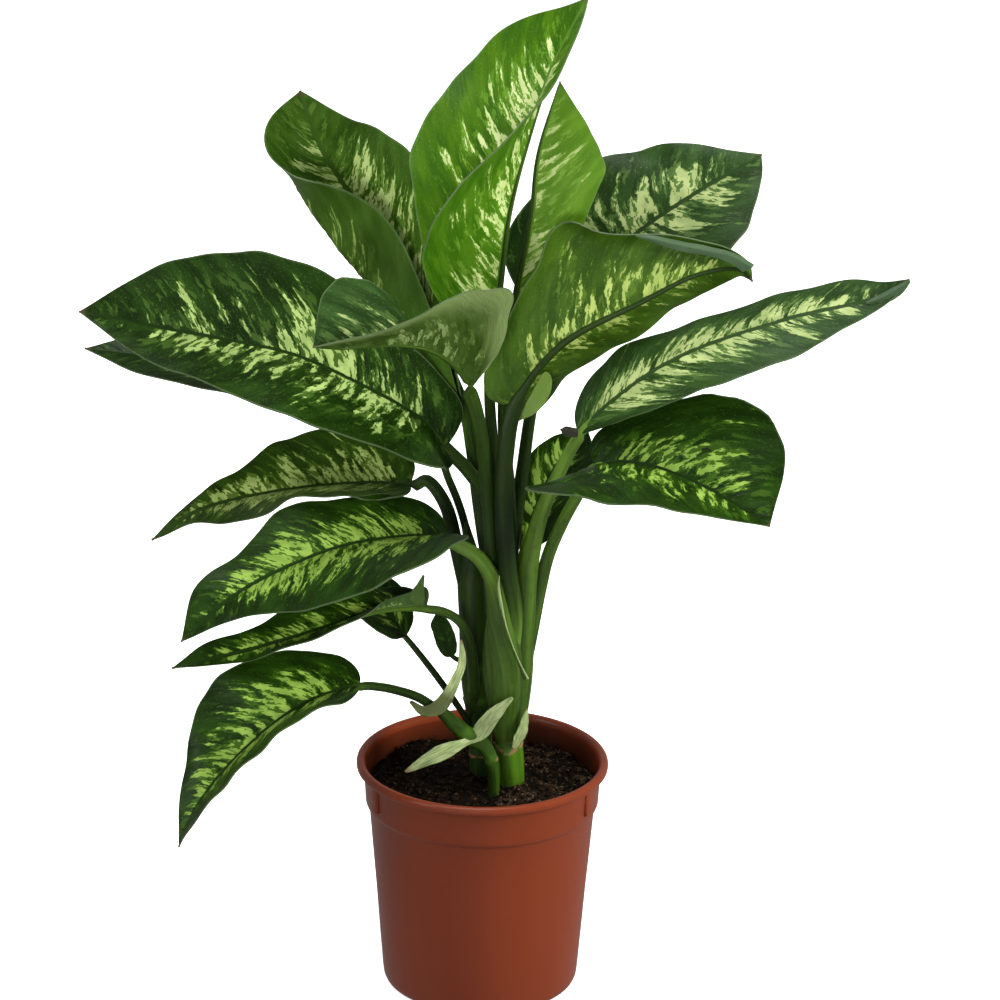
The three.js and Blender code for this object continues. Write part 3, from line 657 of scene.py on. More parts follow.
# ---------------------------------------------------------------------------------------------
# The leaves. Each grew as one piece: a sheath or stalk that clasps the cane, a midrib that it
# runs on into, and a thin oblong blade, streaked cream and yellow-green along its side veins.
# stalk, radii: centre line from the cane to the blade; rib: midrib to the tip; face: where the
# upper surface looks; wide: each half's width along the midrib; ahead: how far its margin runs
# ahead of the midrib; lift, bend, roll: how it rises, curves and rolls; cover: how much is streaked.
leaf_table = {
    "leaf_top_folded": dict(
        age="young", seed=1, cover=0.03, wave=1.2,
        stalk=[(10, 5, 296), (11, 12, 345), (9, 13, 388), (4, 9, 430)], radii=[3.5, 5, 4.6, 4.2],
        rib=[(0, 6, 490), (7, 8, 545), (14, 12, 604), (27, 18, 655), (43, 24, 704), (69, 30, 758)],
        face=[(-1, -0.2, 0.1), (-1, -0.3, 0.1)],
        wide=([8, 46, 65, 79, 68, 51, 0], [12, 53, 72, 75, 61, 33, 0]),
        ahead=([10, 12, 7, 5, 0], [9, 8, 2, -2, 0]), lift=([69, 82, 65, 37, 11], [78, 74, 42, 18, -4])),
    "leaf_upper_upright": dict(
        age="young", back="glowing", seed=2, cover=0.04, wave=1.0,
        stalk=[(12, 5, 288), (19, 11, 340), (17, 16, 390), (13, 15, 440)], radii=[3.5, 5, 4.6, 4.2],
        rib=[(15, 16, 490), (22, 22, 544), (31, 28, 594), (35, 34, 640), (50, 42, 693)],
        face=[(0.7, 0.7, 0)],
        wide=([4, 14, 30, 40, 50, 31, 0], [24, 34, 40, 45, 39, 26, 0]),
        ahead=([8, 11, 10, 11, 0], [3, 1, -2, -1, 0]), lift=([37, 32, 33, 35, 36], [62])),
    "leaf_upper_right_back": dict(
        age="blue_green", seed=3, cover=0.02, wave=1.5,
        stalk=[(13, 7, 280), (20, 18, 335), (27, 26, 400), (36, 36, 460)], radii=[3.5, 5, 4.4, 4],
        rib=[(61, 58, 525), (111, 70, 573), (155, 76, 603), (187, 80, 622), (200, 85, 629)],
        face=[(-0.4, -0.7, 0.6)],
        wide=([12, 44, 66, 67, 55, 33, 0], [22, 48, 63, 67, 59, 36, 0]),
        ahead=([-26, -57, -42, -17, 0], [-11, -5, 3, 10, 0]),
        lift=([16, 26, 26, 23, 18], [24, 18, 12, 11, 17]), bend=([-10], [-10])),
    "leaf_upper_right_front": dict(
        age="fresh", back="sunlit", seed=4, cover=0.0, wave=1.5,
        rib_size=0.8, stalk_tone=-0.15, foot_tone=0.55,
        stalk=[(16, -1, 226), (20, -6, 265), (22, -9, 300), (17, -13, 336), (13, -14, 392), (14, -12, 430)],
        radii=[5, 6.5, 7, 7, 6.5, 6],
        rib=[(20, -6, 463), (53, -6, 509), (110, -10, 543), (152, -14, 566), (182, -18, 571),
             (190, -20, 563)],
        face=[(-0.3, 0.9, 0.1)],
        wide=([20, 31, 37, 34, 27, 19, 0], [24, 35, 52, 76, 48, 23, 0]),
        ahead=([-18, -15, -8, -5, 0], [-13, -6, -13, 4, 0]),
        lift=([18, 20, 22, 20, 15], [31, 28, 30, 31, 32]), roll=([0], [0, -40, -60])),
    "leaf_centre_curled": dict(
        age="blue_green", back="pale", seed=5, cover=-0.06, wave=1.2, rib_size=0.45,
        stalk=[(9, 1, 296), (5, -7, 345), (2, -10, 389), (-4, -15, 444)], radii=[3.5, 5, 5.2, 5.5],
        rib=[(-12, -18, 479), (-24, -30, 500), (-41, -44, 516), (-63, -62, 525), (-84, -76, 528),
             (-103, -88, 530), (-122, -100, 535)],
        face=[(0.2, 0.8, 0.5), (0, -0.2, 0.95), (0.1, -0.4, 0.9)],
        wide=([18, 52, 84, 75, 58, 40, 0], [2, 7, 25, 45, 52, 33, 0]),
        ahead=([13, 11, -3, -3, 0], [10, 19, 13, 16, 0]),
        lift=([6, 36, 54, 52, 57], [4, 29, 43, 36, 16])),
    "leaf_upper_left": dict(
        age="fresh", seed=6, cover=0.03, wave=1.0,
        stalk=[(9, 6, 296), (0, 13, 345), (-6, 16, 385), (-10, 18, 414)], radii=[3.5, 5, 4.8, 4.6],
        rib=[(-18, 21, 453), (-38, 34, 503), (-65, 50, 552), (-96, 58, 594), (-123, 58, 637),
             (-138, 52, 681)],
        face=[(-0.5, -0.6, 0.6), (-0.5, -0.7, 0.5)],
        wide=([34, 53, 73, 83, 73, 45, 0], [22, 37, 55, 64, 60, 36, 0]),
        ahead=([15, 22, 27, 28, 0], [14, 10, 0, 6, 0]), lift=([41, 22, 22, 9, 2], [58, 48, 28, -1, -27]),
        roll=([120, 155, 150, 100, 0], [0]), fold=0.2),
    "leaf_left_large": dict(
        age="broad", seed=7, cover=-0.01, wave=1.6,
        stalk=[(10, 3, 296), (6, 0, 345), (1, 4, 385), (-14, 4, 409)], radii=[4, 5.6, 5.2, 5],
        rib=[(-30, 2, 427), (-46, 0, 447), (-92, -5, 476), (-140, -8, 499), (-192, -10, 511),
             (-233, -12, 519),
             (-295, -14, 532)],
        face=[(0.1, -0.85, 0.5), (0.1, -0.8, 0.6)],
        wide=([0, 44, 60, 71, 58, 37, 0], [26, 39, 53, 67, 63, 42, 0]),
        ahead=([-26, -36, -18, -6, 0], [2, 1, -2, 2, 0]), lift=([42, 42, 35], [16, 24, 24, 23, 20]),
        bend=([-10], [-10])),
    "leaf_left_behind": dict(
        age="old", seed=8, cover=-0.05, wave=1.0,
        stalk=[(-12, 22, 300), (-14, 27, 350), (-20, 30, 372), (-27, 31, 390)], radii=[2.5, 3, 3, 2.6],
        rib=[(-38, 34, 412), (-138, 50, 450), (-227, 50, 474), (-298, 48, 484)],
        face=[(0, -0.3, 0.95)],
        wide=([28, 33, 37, 40, 36, 28, 0], [20, 28, 34, 36, 31, 18, 0]),
        ahead=([-2, 1, 3, 3, 0], [0, 15, 19, 12, 0]), lift=([10, 11, 12, 10, 5], [20])),
    "leaf_left_second": dict(
        # Its face is a lighter copy of the old leaves' colours: painted light, for the shade of the leaves
        # above it.
        age="shaded", seed=9, cover=0.06, wave=2.2,
        stalk=[(-13, 22, 296), (-22, 20, 345), (-31, 20, 378), (-44, 22, 394)], radii=[4, 5.4, 5, 4.4],
        rib=[(-56, 28, 388), (-90, 36, 385), (-145, 34, 380), (-211, 24, 367), (-248, 14, 346)],
        face=[(0, -0.35, 0.94)],
        wide=([33, 47, 53, 47, 33, 11, 0], [20, 36, 45, 41, 22, 11, 0]),
        ahead=([-17, -5, -2, -1, 0], [-8, -6, -6, -6, 0]),
        lift=([20, 31, 28, 5, -14], [33, 33, 31, 21, 14]), bend=([0], [-10])),
    "leaf_left_third": dict(
        age="old", seed=10, cover=0.05, wave=2.0, stalk_tone=0.24,
        stalk=[(20, -2, 190), (18, -2, 208), (16, -3, 235), (14, -5, 265), (11, -11, 305), (5, -15, 332),
               (-5, -16, 348), (-17, -15, 356)], radii=[9.2, 12.5, 15, 14, 9.5, 6.4, 5.4, 5],
        rib=[(-29, -13, 361), (-84, -35, 366), (-120, -50, 361), (-177, -70, 338), (-219, -85, 305)],
        face=[(-0.1, -0.5, 0.85), (-0.2, -0.6, 0.75)],
        wide=([51, 70, 76, 68, 48, 18, 0], [22, 35, 38, 42, 26, 24, 0]),
        ahead=([-12, -4, -4, -3, 0], [-3, -1, 1, 3, 0]), lift=([60, 36, 27, 18, 15], [20, 22, 25, 24, 24]),
        bend=([-10], [-10])),
    "leaf_left_twisted": dict(
        age="old", seed=11, cover=0.04, wave=1.5, stalk_tone=0.12,
        stalk=[(-7, 15, 192), (-7, 9, 230), (-8, 2, 255), (-11, -4, 278), (-18, -7, 293), (-29, -8, 301)],
        radii=[3.5, 4.4, 3.8, 3.3],
        rib=[(-43, -8, 304), (-77, -25, 308), (-120, -45, 300), (-171, -60, 289), (-227, -75, 280)],
        face=[(0, -0.2, 0.98), (-0.1, -0.7, 0.7)],
        wide=([20, 10, 14, 16, 11, 7, 0], [17, 20, 24, 24, 15, 13, 0]),
        ahead=([-6, -10, -8, -4, 0], [-4, -1, 3, 4, 0]), lift=([121, 60, 30, 14, 16], [20])),
    "leaf_left_small": dict(
        age="old", seed=12, cover=0.0, wave=0.8,
        stalk=[(-5, 13, 184), (-11, 9, 204), (-22, 10, 222), (-34, 14, 238),
               (-46, 16, 254)], radii=[2, 2.6, 2.2],
        rib=[(-59, 17, 271), (-75, 22, 288), (-92, 30, 298), (-112, 38, 304)],
        face=[(0, -0.4, 0.9)],
        wide=([14, 20, 24, 23, 19, 12, 0], [14, 20, 24, 23, 19, 12, 0]),
        ahead=([2, 8, 8, 5, 0], [2, 8, 8, 5, 0]), lift=([15], [15])),
    "leaf_left_hanging": dict(
        age="old", seed=13, cover=0.05, wave=1.6,
        stalk=[(-36, -28, 232), (-48, -33, 242), (-62, -38, 249), (-77, -42, 254)], radii=[3.6, 3.4, 3.2],
        rib=[(-91, -45, 256), (-133, -72, 250), (-176, -100, 223), (-205, -116, 190), (-219.5, -125, 160)],
        face=[(-0.2, -0.5, 0.85), (-0.7, -0.5, 0.5)],
        wide=([18, 32, 43, 44, 38, 28, 0], [20, 37, 49, 53, 38, 18, 0]),
        ahead=([6, 18, 12, 1, 0], [-9, -8, -7, -4, 0]), lift=([28, 39, 43, 36, 45], [17, 33, 38, 30, 21]),
        bend=([-10], [-10])),
    "leaf_right_long": dict(
        age="blue_green", seed=14, cover=0.06, wave=1.6, stalk_tone=0.27,
        stalk=[(20, -1, 188), (24, 2, 218), (27, 3, 246), (29, 4, 285), (32, 4, 330), (40, 2, 372),
               (52, -3, 406)], radii=[9, 10, 9.2, 8, 6, 4.8, 4.2],
        rib=[(68, -14, 444), (97, -30, 480), (139, -38, 512), (217, -42, 543), (281, -42, 560),
             (300, -42, 573)],
        face=[(-0.1, -0.6, 0.75)],
        wide=([30, 43, 40, 33, 31, 28, 0], [14, 27, 37, 36, 29, 14, 0]),
        ahead=([-5, -5, -3, -1, 0], [18, 21, 17, 11, 0]), lift=([-15, -18, -25, -18, -7], [5]),
        bend=([0], [-5, -5, 0])),
    "leaf_right_oval": dict(
        age="old", seed=15, cover=-0.03, wave=1.2, stalk_tone=0.20,
        stalk=[(24, 4, 216), (30, 6, 252), (35, 6, 280), (41, 9, 312), (47, 6, 341), (56, 0, 367),
               (66, -10, 392)], radii=[5, 6, 5.2, 4.8, 4.4, 4.2],
        rib=[(80, -28, 424), (112, -40, 430), (155, -56, 420), (205, -75, 396)],
        face=[(0.1, -0.6, 0.75), (0.2, -0.7, 0.7)],
        wide=([20, 35, 53, 69, 67, 39, 0], [30, 64, 85, 81, 70, 44, 0]),
        ahead=([-9, -3, 2, 13, 0], [-12, -61, -38, -17, 0]),
        lift=([16, 22, 25, 22, 17], [55, 37, 36, 42, 50]), bend=([-10], [-10])),
    "leaf_right_behind": dict(
        age="old", seed=16, cover=0.05, wave=0.8,
        stalk=[(17, 6, 240), (20, 14, 285), (26, 22, 305), (28, 32, 325)], radii=[3, 4.2, 4, 3.5],
        rib=[(30, 40, 335), (40, 56, 365), (56, 74, 392), (76, 90, 412)],
        face=[(-0.3, -0.8, 0.5)],
        wide=([12, 20, 24, 23, 19, 10, 0], [18, 27, 33, 34, 28, 16, 0]),
        ahead=([-10, -6, 4, 6, 0], [0, 15, 19, 10, 0]), lift=([15], [15])),
    "leaf_left_bud": dict(
        age="old", seed=17, cover=-0.4, wave=0.2,
        stalk=[(-13, 14, 249), (-20, 13, 254)], radii=[2, 1.8],
        rib=[(-24, 12, 257), (-29, 12, 274), (-36, 13, 291)],
        face=[(-0.4, -0.8, 0.3)],
        wide=([4, 7, 8.5, 8.5, 8, 7, 0], [4, 7, 8.5, 8.5, 8, 7, 0]), lift=([25], [10])),
}


def leaf_up(leaf, s, along):
    up = np.stack([eased([face[c] for face in leaf["face"]], s) for c in range(3)], -1)
    return unit(up - along * np.sum(up * along, -1, keepdims=True))


def on_side(leaf, key, s, u):
    """What the table says for a point's side of the midrib; a key that is left out means 0."""
    left, right = leaf.get(key, ([0], [0]))
    return np.where(u < 0, eased(left, s), eased(right, s))


def base_round(leaf, s):
    """How far a blade has opened out from its foot at s: 0 at the very foot, then quickly 1."""
    reach = leaf.get("round", 0.09)
    if reach == 0:
        return np.ones_like(s)
    return (1 - (1 - np.clip(s / reach, 0, 1)) ** 2.3) ** (1 / 2.3)


def half_width(leaf, s, u):
    wide = on_side(leaf, "wide", s, u) * base_round(leaf, s)
    seed = leaf["seed"]
    ragged = 1 + 0.012 * np.sin(31 * s + seed + np.sign(u)) + 0.008 * np.sin(57 * s - seed * u)
    return np.maximum(wide * ragged, 0.8)


def vein_foot(leaf, line, s, u):
    """Where on the midrib, in millimetres, the side vein that passes a point of the blade starts."""
    q = np.abs(u)
    return s * line.blade_length - q * half_width(leaf, s, u) * (0.55 + 0.35 * q)


def blade_surface(leaf, line, s, u):
    """Middle surface of a blade: s runs along the midrib, u from the midrib to the margins at -1 and 1."""
    q = np.abs(u)
    at = line.start + (1 - line.start) * s
    along = line.along(at)
    up = leaf_up(leaf, s, along)
    right = np.cross(along, up)
    w = half_width(leaf, s, u)
    lift, bend, roll = (np.radians(on_side(leaf, key, s, u)) for key in ("lift", "bend", "roll"))
    fold = leaf.get("fold", 0.65)
    x, z = np.zeros_like(s), np.zeros_like(s)
    steps = 24
    for i in range(steps):
        v = q * (i + 0.5) / steps
        angle = lift + bend * v + roll * np.clip((v - fold) / 0.35, 0, 1) ** 1.5
        x += w * q / steps * np.cos(angle)
        z += w * q / steps * np.sin(angle)
    ahead = on_side(leaf, "ahead", s, u) * base_round(leaf, s)
    return (line.point(at) + right * (np.sign(u) * x)[:, None] + up * z[:, None]
            + along * (ahead * q * (0.45 + 0.55 * q))[:, None])


def blade_relief(leaf, line, s, u):
    """Quilting between the side veins and slow waves of the margin, in millimetres."""
    q = np.abs(u)
    to_tip = 1 - s
    seed = leaf["seed"]
    vein = vein_foot(leaf, line, s, u) / 10.5 + 0.35 * np.sin(9 * s + seed) + np.where(u < 0, 0.4, 0.0)
    held = np.clip(q / 0.12, 0, 1) * np.clip((1 - q) / 0.35, 0, 1) * np.clip(to_tip / 0.15, 0, 1)
    quilt = (np.abs(np.sin(math.pi * vein)) ** 0.7 - 0.5) * 0.75 * held * min(1, max(leaf["wide"][0]) / 40)
    side = np.where(u < 0, 1.7, 4.1)
    slow = np.sin(2 * math.pi * 2.3 * s + seed * 2.1 + side)
    slow = slow + 0.6 * np.sin(2 * math.pi * 4.9 * s + seed * 3.7 - side)
    return quilt + leaf["wave"] * slow * q ** 2 * np.clip(to_tip / 0.25, 0, 1) * np.clip(s / 0.1, 0, 1)


def solid_blade(leaf, line, name, rows, columns, skins, thick=1.0):
    """A grid laid out as the blade and given its thickness; skins: upper face, under face, margin."""
    select_only()
    bpy.ops.mesh.primitive_grid_add(x_subdivisions=columns, y_subdivisions=rows, size=2.0, location=(0, 0, 0))
    blade = bpy.context.object
    blade.name = name
    co = coordinates(blade.data)
    u, s = co[:, 0], (co[:, 1] + 1) / 2
    u = np.sign(u) * np.abs(u) ** 1.25
    s = s - 0.86 * np.sin(2 * math.pi * s) / (2 * math.pi)
    surface = blade_surface(leaf, line, s, u)
    step = 0.004
    ahead = blade_surface(leaf, line, np.minimum(s + step, 1), u) - blade_surface(
        leaf, line, np.maximum(s - step, 0), u)
    across = blade_surface(leaf, line, s, np.minimum(u + step, 1)) - blade_surface(
        leaf, line, s, np.maximum(u - step, -1))
    normal = unit(np.cross(across, ahead))
    surface = surface + normal * blade_relief(leaf, line, s, u)[:, None]
    set_coordinates(blade.data, surface / 1000)
    width = half_width(leaf, s, u)
    seed = leaf["seed"]
    add_values(blade.data, "vein", vein_foot(leaf, line, s, u), np.abs(u) * width,
               seed * 3.1 + np.where(u < 0, 0.0, 17.0))
    add_values(blade.data, "place", s, np.abs(u), leaf.get("cover", 0.0))
    add_values(blade.data, "run", s * line.blade_length, u * width, seed)
    thicken = blade.modifiers.new("thicken", "SOLIDIFY")
    thicken.thickness = thick / 1000
    thicken.offset = 0.0
    thicken.material_offset = 1
    thicken.material_offset_rim = 2
    for skin in skins:
        blade.data.materials.append(skin)
    bpy.ops.object.modifier_apply(modifier="thicken")
    return blade


def stalk_and_rib(leaf, line, name):
    """The stalk, channelled on its upper side, and the midrib that it runs on into under the blade."""
    stalk_share = line.start
    rod, at, angle = ringed_rod(name, 22, int(line.length / 2.6))
    at = at * 0.992
    end = leaf["radii"][-1]
    rib_size = leaf.get("rib_size", 1.0)
    s = np.clip((at - stalk_share) / (1 - stalk_share), 0, 1)
    along = line.along(at)
    up = leaf_up(leaf, s, along)
    right = np.cross(along, up)
    on_stalk = eased(leaf["radii"], at / (stalk_share + 0.015))
    near_foot = np.clip(1 - s / 0.09, 0, 1) ** 1.5
    narrow = end * (0.62 - 0.5 * s) * rib_size + end * (1 - 0.62 * rib_size) * near_foot
    both_halves = (half_width(leaf, s, np.full_like(s, side)) for side in (-1, 1))
    on_rib = np.minimum(narrow, 0.55 * np.minimum(*both_halves) + 0.3)
    radius = np.where(at < stalk_share, on_stalk, on_rib)
    top = 0.45 * end * np.clip(1 - s / 0.07, 0, 1) + 0.42
    drop = np.where(at < stalk_share, 0.55 * end * np.clip(at / stalk_share, 0, 1) ** 6, radius - top)
    channel = (0.05 + 0.22 * np.clip(at / stalk_share, 0, 1)) * np.where(at < stalk_share, 1, 0.3)
    profile = 1 - channel * np.exp(-((angle - math.pi / 2) / 0.55) ** 2)
    r = radius * profile * (1 + 0.012 * np.sin(5 * angle + at * 30))
    wrap(rod, line.point(at) - up * drop[:, None], angle, r, right, up)
    add_values(rod.data, "run", at * line.length, radius * angle, leaf["seed"] * 2.3)
    tone = 0.22 * np.clip((at / stalk_share - 0.5) * 2, 0, 1) - 0.08 + leaf.get("stalk_tone", 0.0)
    tone = tone + leaf.get("foot_tone", 0.0) * np.clip(1.6 - at / (0.36 * stalk_share), 0, 1)
    add_values(rod.data, "tint", tone, 0, 0)
    return rod


def leaf_material(name, dark, deep, middle, pale, rib_colour, soft=0.015, gloss=0.34, grain=1.0, painted_sheen=0.0):
    """A leaf's face: dark ground, side-vein streaks in two tones, dark flecks, midrib and margin."""
    skin = Finish(name)
    maths, blend = skin.maths, skin.blend
    along, out, seed = skin.parts(skin.stored("vein"))
    share, margin, cover = skin.parts(skin.stored("place"))

    def ease(value, low, high, out_low=0.0, out_high=1.0):
        return skin.spread(value, low, high, out_low, out_high, "SMOOTHSTEP")

    def mottle(lengthwise, long, wide, shift, detail, roughness=0.5):
        """Noise with grains of this length and width, in millimetres, along the midrib and out from it."""
        place = skin.step("ShaderNodeCombineXYZ", {
            "X": maths("DIVIDE", lengthwise, long),
            "Y": maths("DIVIDE", out, wide),
            "Z": maths("ADD", seed, shift),
        })
        return skin.noise(place["Vector"], detail, roughness)

    drift = mottle(along, 26.0, 34.0, 0.0, 1.0)
    jitter = mottle(along, 2.8, 3.6, 0.0, 2.0, 0.6)
    bent = maths("MULTIPLY_ADD", jitter, 3.6, maths("MULTIPLY_ADD", drift, 14.0, along))

    # Where the streaks run: few at the midrib, the foot, the tip and the margin, in loose groups.
    streak = mottle(bent, 4.2 * grain, 16.0 * grain, 0.0, 2.0)
    group = mottle(bent, 14.0, 40.0, 2.0, 1.0)
    ragged = mottle(along, 1.3, 2.0, 5.0, 2.0)
    value = maths("MULTIPLY_ADD", maths("SUBTRACT", ragged, 0.5), 0.24, streak)
    value = maths("MULTIPLY_ADD", maths("SUBTRACT", group, 0.5), 0.62, value)
    limit = skin.spread(margin, 0.24, 0.92, 0.5, 0.83)
    limit = maths("ADD", limit, ease(share, 0.02, 0.15, 0.30, 0.0))
    limit = maths("ADD", limit, ease(share, 0.72, 0.97, 0.0, 0.30))
    limit = maths("ADD", limit, ease(out, 0.8, 2.4, 0.5, 0.0))
    over = maths("SUBTRACT", value, maths("SUBTRACT", limit, cover))
    holes = mottle(bent, 2.6, 7.0, 11.0, 1.5)
    pale_mask = maths("MULTIPLY", ease(over, 0.0, soft), ease(holes, 0.55, 0.575, 1.0, 0.0))
    middle_mask = ease(over, -0.07, -0.07 + 3 * soft)

    # The ground, with faint side veins and small lighter islands, and the streaks over it.
    patches = mottle(along, 14.0, 20.0, 3.0, 3.0)
    colour = blend(ease(patches, 0.35, 0.68), dark, deep)
    side_vein = maths("SINE", maths("MULTIPLY", bent, 2 * math.pi / 4.4))
    colour = blend(ease(side_vein, 0.80, 1.0, 0.0, 0.08), colour, middle)
    islands = mottle(bent, 5.5, 12.0, 21.0, 3.0, 0.6)
    islands = maths("MULTIPLY", ease(islands, 0.56, 0.62, 0.0, 0.6), ease(margin, 0.55, 0.9, 1.0, 0.0))
    colour = blend(islands, colour, middle)
    colour = blend(maths("MULTIPLY", middle_mask, 0.85), colour, middle)
    faded = [0.62 * a + 0.38 * b for a, b in zip(pale, middle)]
    fade = mottle(along, 9.0, 12.0, 8.0, 2.0)
    colour = blend(pale_mask, colour, blend(ease(fade, 0.36, 0.66), faded, pale))
    # Painted sheen: towards the margin the colour turns pale, the grey shine of an underside seen edge-on.
    if painted_sheen:
        colour = blend(ease(margin, 0.45, 0.95, 0.0, painted_sheen), colour, pale)

    # Fine pale grain, the midrib, the pale margin and the dry tip.
    fine = mottle(along, 0.8, 0.9, 0.0, 3.0)
    colour = blend(ease(fine, 0.63, 0.72, 0.0, 0.22), colour, pale)
    colour = blend(ease(out, 1.0, 2.2, 1.0, 0.0), colour, rib_colour)
    colour = blend(ease(margin, 0.975, 0.995, 0.0, 0.28), colour, (0.20, 0.28, 0.14))
    colour = blend(ease(share, 0.975, 0.995, 0.0, 0.8), colour, (0.085, 0.062, 0.025))

    rough = maths("MULTIPLY_ADD", ragged, 0.16, gloss - 0.06)
    skin.surface({
        "Base Color": colour,
        "Roughness": maths("MULTIPLY_ADD", pale_mask, 0.05, rough),
        "Specular IOR Level": 0.11,
    })
    puckers = mottle(bent, 4.0, 6.0, 9.0, 2.0)
    height = maths("MULTIPLY_ADD", fine, 0.4, maths("MULTIPLY", puckers, 2.2))
    skin.relief(maths("MULTIPLY_ADD", streak, 0.8, height), 0.42, 0.0006)
    return skin.material


# The faces by age or look: dark and lighter ground, middle and pale streaks, midrib; then how
# soft the streaks' edges are, the roughness, the streaks' size and a pale band at the margin,
# which is painted sheen.
upper = {age: leaf_material(age + "_leaf_upper", *look) for age, look in {
    "old": ((0.005, 0.017, 0.001), (0.012, 0.038, 0.002), (0.044, 0.108, 0.007),
            (0.270, 0.420, 0.070), (0.012, 0.032, 0.004)),
    "broad": ((0.005, 0.017, 0.001), (0.013, 0.039, 0.003), (0.060, 0.125, 0.016),
              (0.390, 0.520, 0.165), (0.012, 0.032, 0.004)),
    # shaded: the old colours made about twice as light, painted light for a leaf that stands in shade.
    "shaded": ((0.014, 0.036, 0.003), (0.030, 0.074, 0.006), (0.100, 0.180, 0.022),
               (0.440, 0.580, 0.170), (0.024, 0.056, 0.008)),
    "blue_green": ((0.014, 0.036, 0.007), (0.027, 0.067, 0.014), (0.092, 0.170, 0.038),
                   (0.450, 0.535, 0.215), (0.026, 0.056, 0.014), 0.015, 0.34, 1.25),
    "fresh": ((0.023, 0.062, 0.004), (0.042, 0.105, 0.008), (0.105, 0.205, 0.026),
              (0.450, 0.560, 0.200), (0.040, 0.090, 0.012)),
    "young": ((0.026, 0.090, 0.001), (0.058, 0.148, 0.002), (0.120, 0.270, 0.020),
              (0.640, 0.700, 0.330), (0.080, 0.180, 0.020), 0.015, 0.34, 1.6),
}.items()}
under = {age: leaf_material(age + "_leaf_under", *look) for age, look in {
    "old": ((0.026, 0.058, 0.016), (0.042, 0.086, 0.022), (0.070, 0.130, 0.030),
            (0.190, 0.280, 0.080), (0.060, 0.110, 0.030), 0.05, 0.45),
    "blue_green": ((0.032, 0.072, 0.026), (0.050, 0.104, 0.036), (0.080, 0.150, 0.045),
                   (0.200, 0.300, 0.110), (0.090, 0.155, 0.050), 0.05, 0.45),
    # The pale underside carries a strong pale band at its margin, painted sheen.
    "pale": ((0.030, 0.064, 0.006), (0.064, 0.116, 0.020), (0.115, 0.190, 0.042),
             (0.250, 0.340, 0.120), (0.060, 0.110, 0.020), 0.06, 0.45, 1.0, 0.75),
    "fresh": ((0.032, 0.078, 0.006), (0.050, 0.110, 0.012), (0.085, 0.165, 0.022),
              (0.260, 0.370, 0.090), (0.030, 0.070, 0.008), 0.04, 0.40),
    "sunlit": ((0.024, 0.062, 0.003), (0.046, 0.104, 0.006), (0.105, 0.195, 0.020),
               (0.400, 0.500, 0.130), (0.012, 0.030, 0.003), 0.04, 0.40),
    # glowing: about twice as light as the young underside, painted light shining through the blade.
    "glowing": ((0.078, 0.195, 0.006), (0.120, 0.265, 0.014), (0.215, 0.375, 0.050),
                (0.540, 0.630, 0.250), (0.100, 0.220, 0.015), 0.04, 0.40, 1.5),
    "young": ((0.030, 0.105, 0.002), (0.060, 0.160, 0.005), (0.140, 0.265, 0.028),
              (0.510, 0.610, 0.240), (0.080, 0.180, 0.015), 0.05, 0.40, 1.4),
}.items()}
margin_skin = stem_material(
    "leaf_margin", (0.030, 0.055, 0.018), (0.085, 0.130, 0.050), (0.200, 0.265, 0.130))
stalk_skin = stem_material(
    "stalk_skin", (0.004, 0.011, 0.0008), (0.018, 0.043, 0.0028), (0.120, 0.230, 0.024),
    scar=(0.15, 0.12, 0.06), stripe=0.25)

# The free edge of the sheath that clasps the cane: a thin pale rim with a small tongue at its top.
sheath_edge_line = SmoothLine([
    (11, -21.5, 335), (10.5, -21, 326), (14, -20.5, 305), (20, -19, 283), (27.5, -14, 262), (33, -6, 247)])
sheath_edge_radii = [0.4, 1.3, 0.65, 0.5, 0.5, 1.1]
sheath_edge_skin = stem_material(
    "sheath_edge", (0.16, 0.22, 0.08), (0.30, 0.37, 0.17), (0.42, 0.47, 0.27), (0.2, 0.12, 0.05))

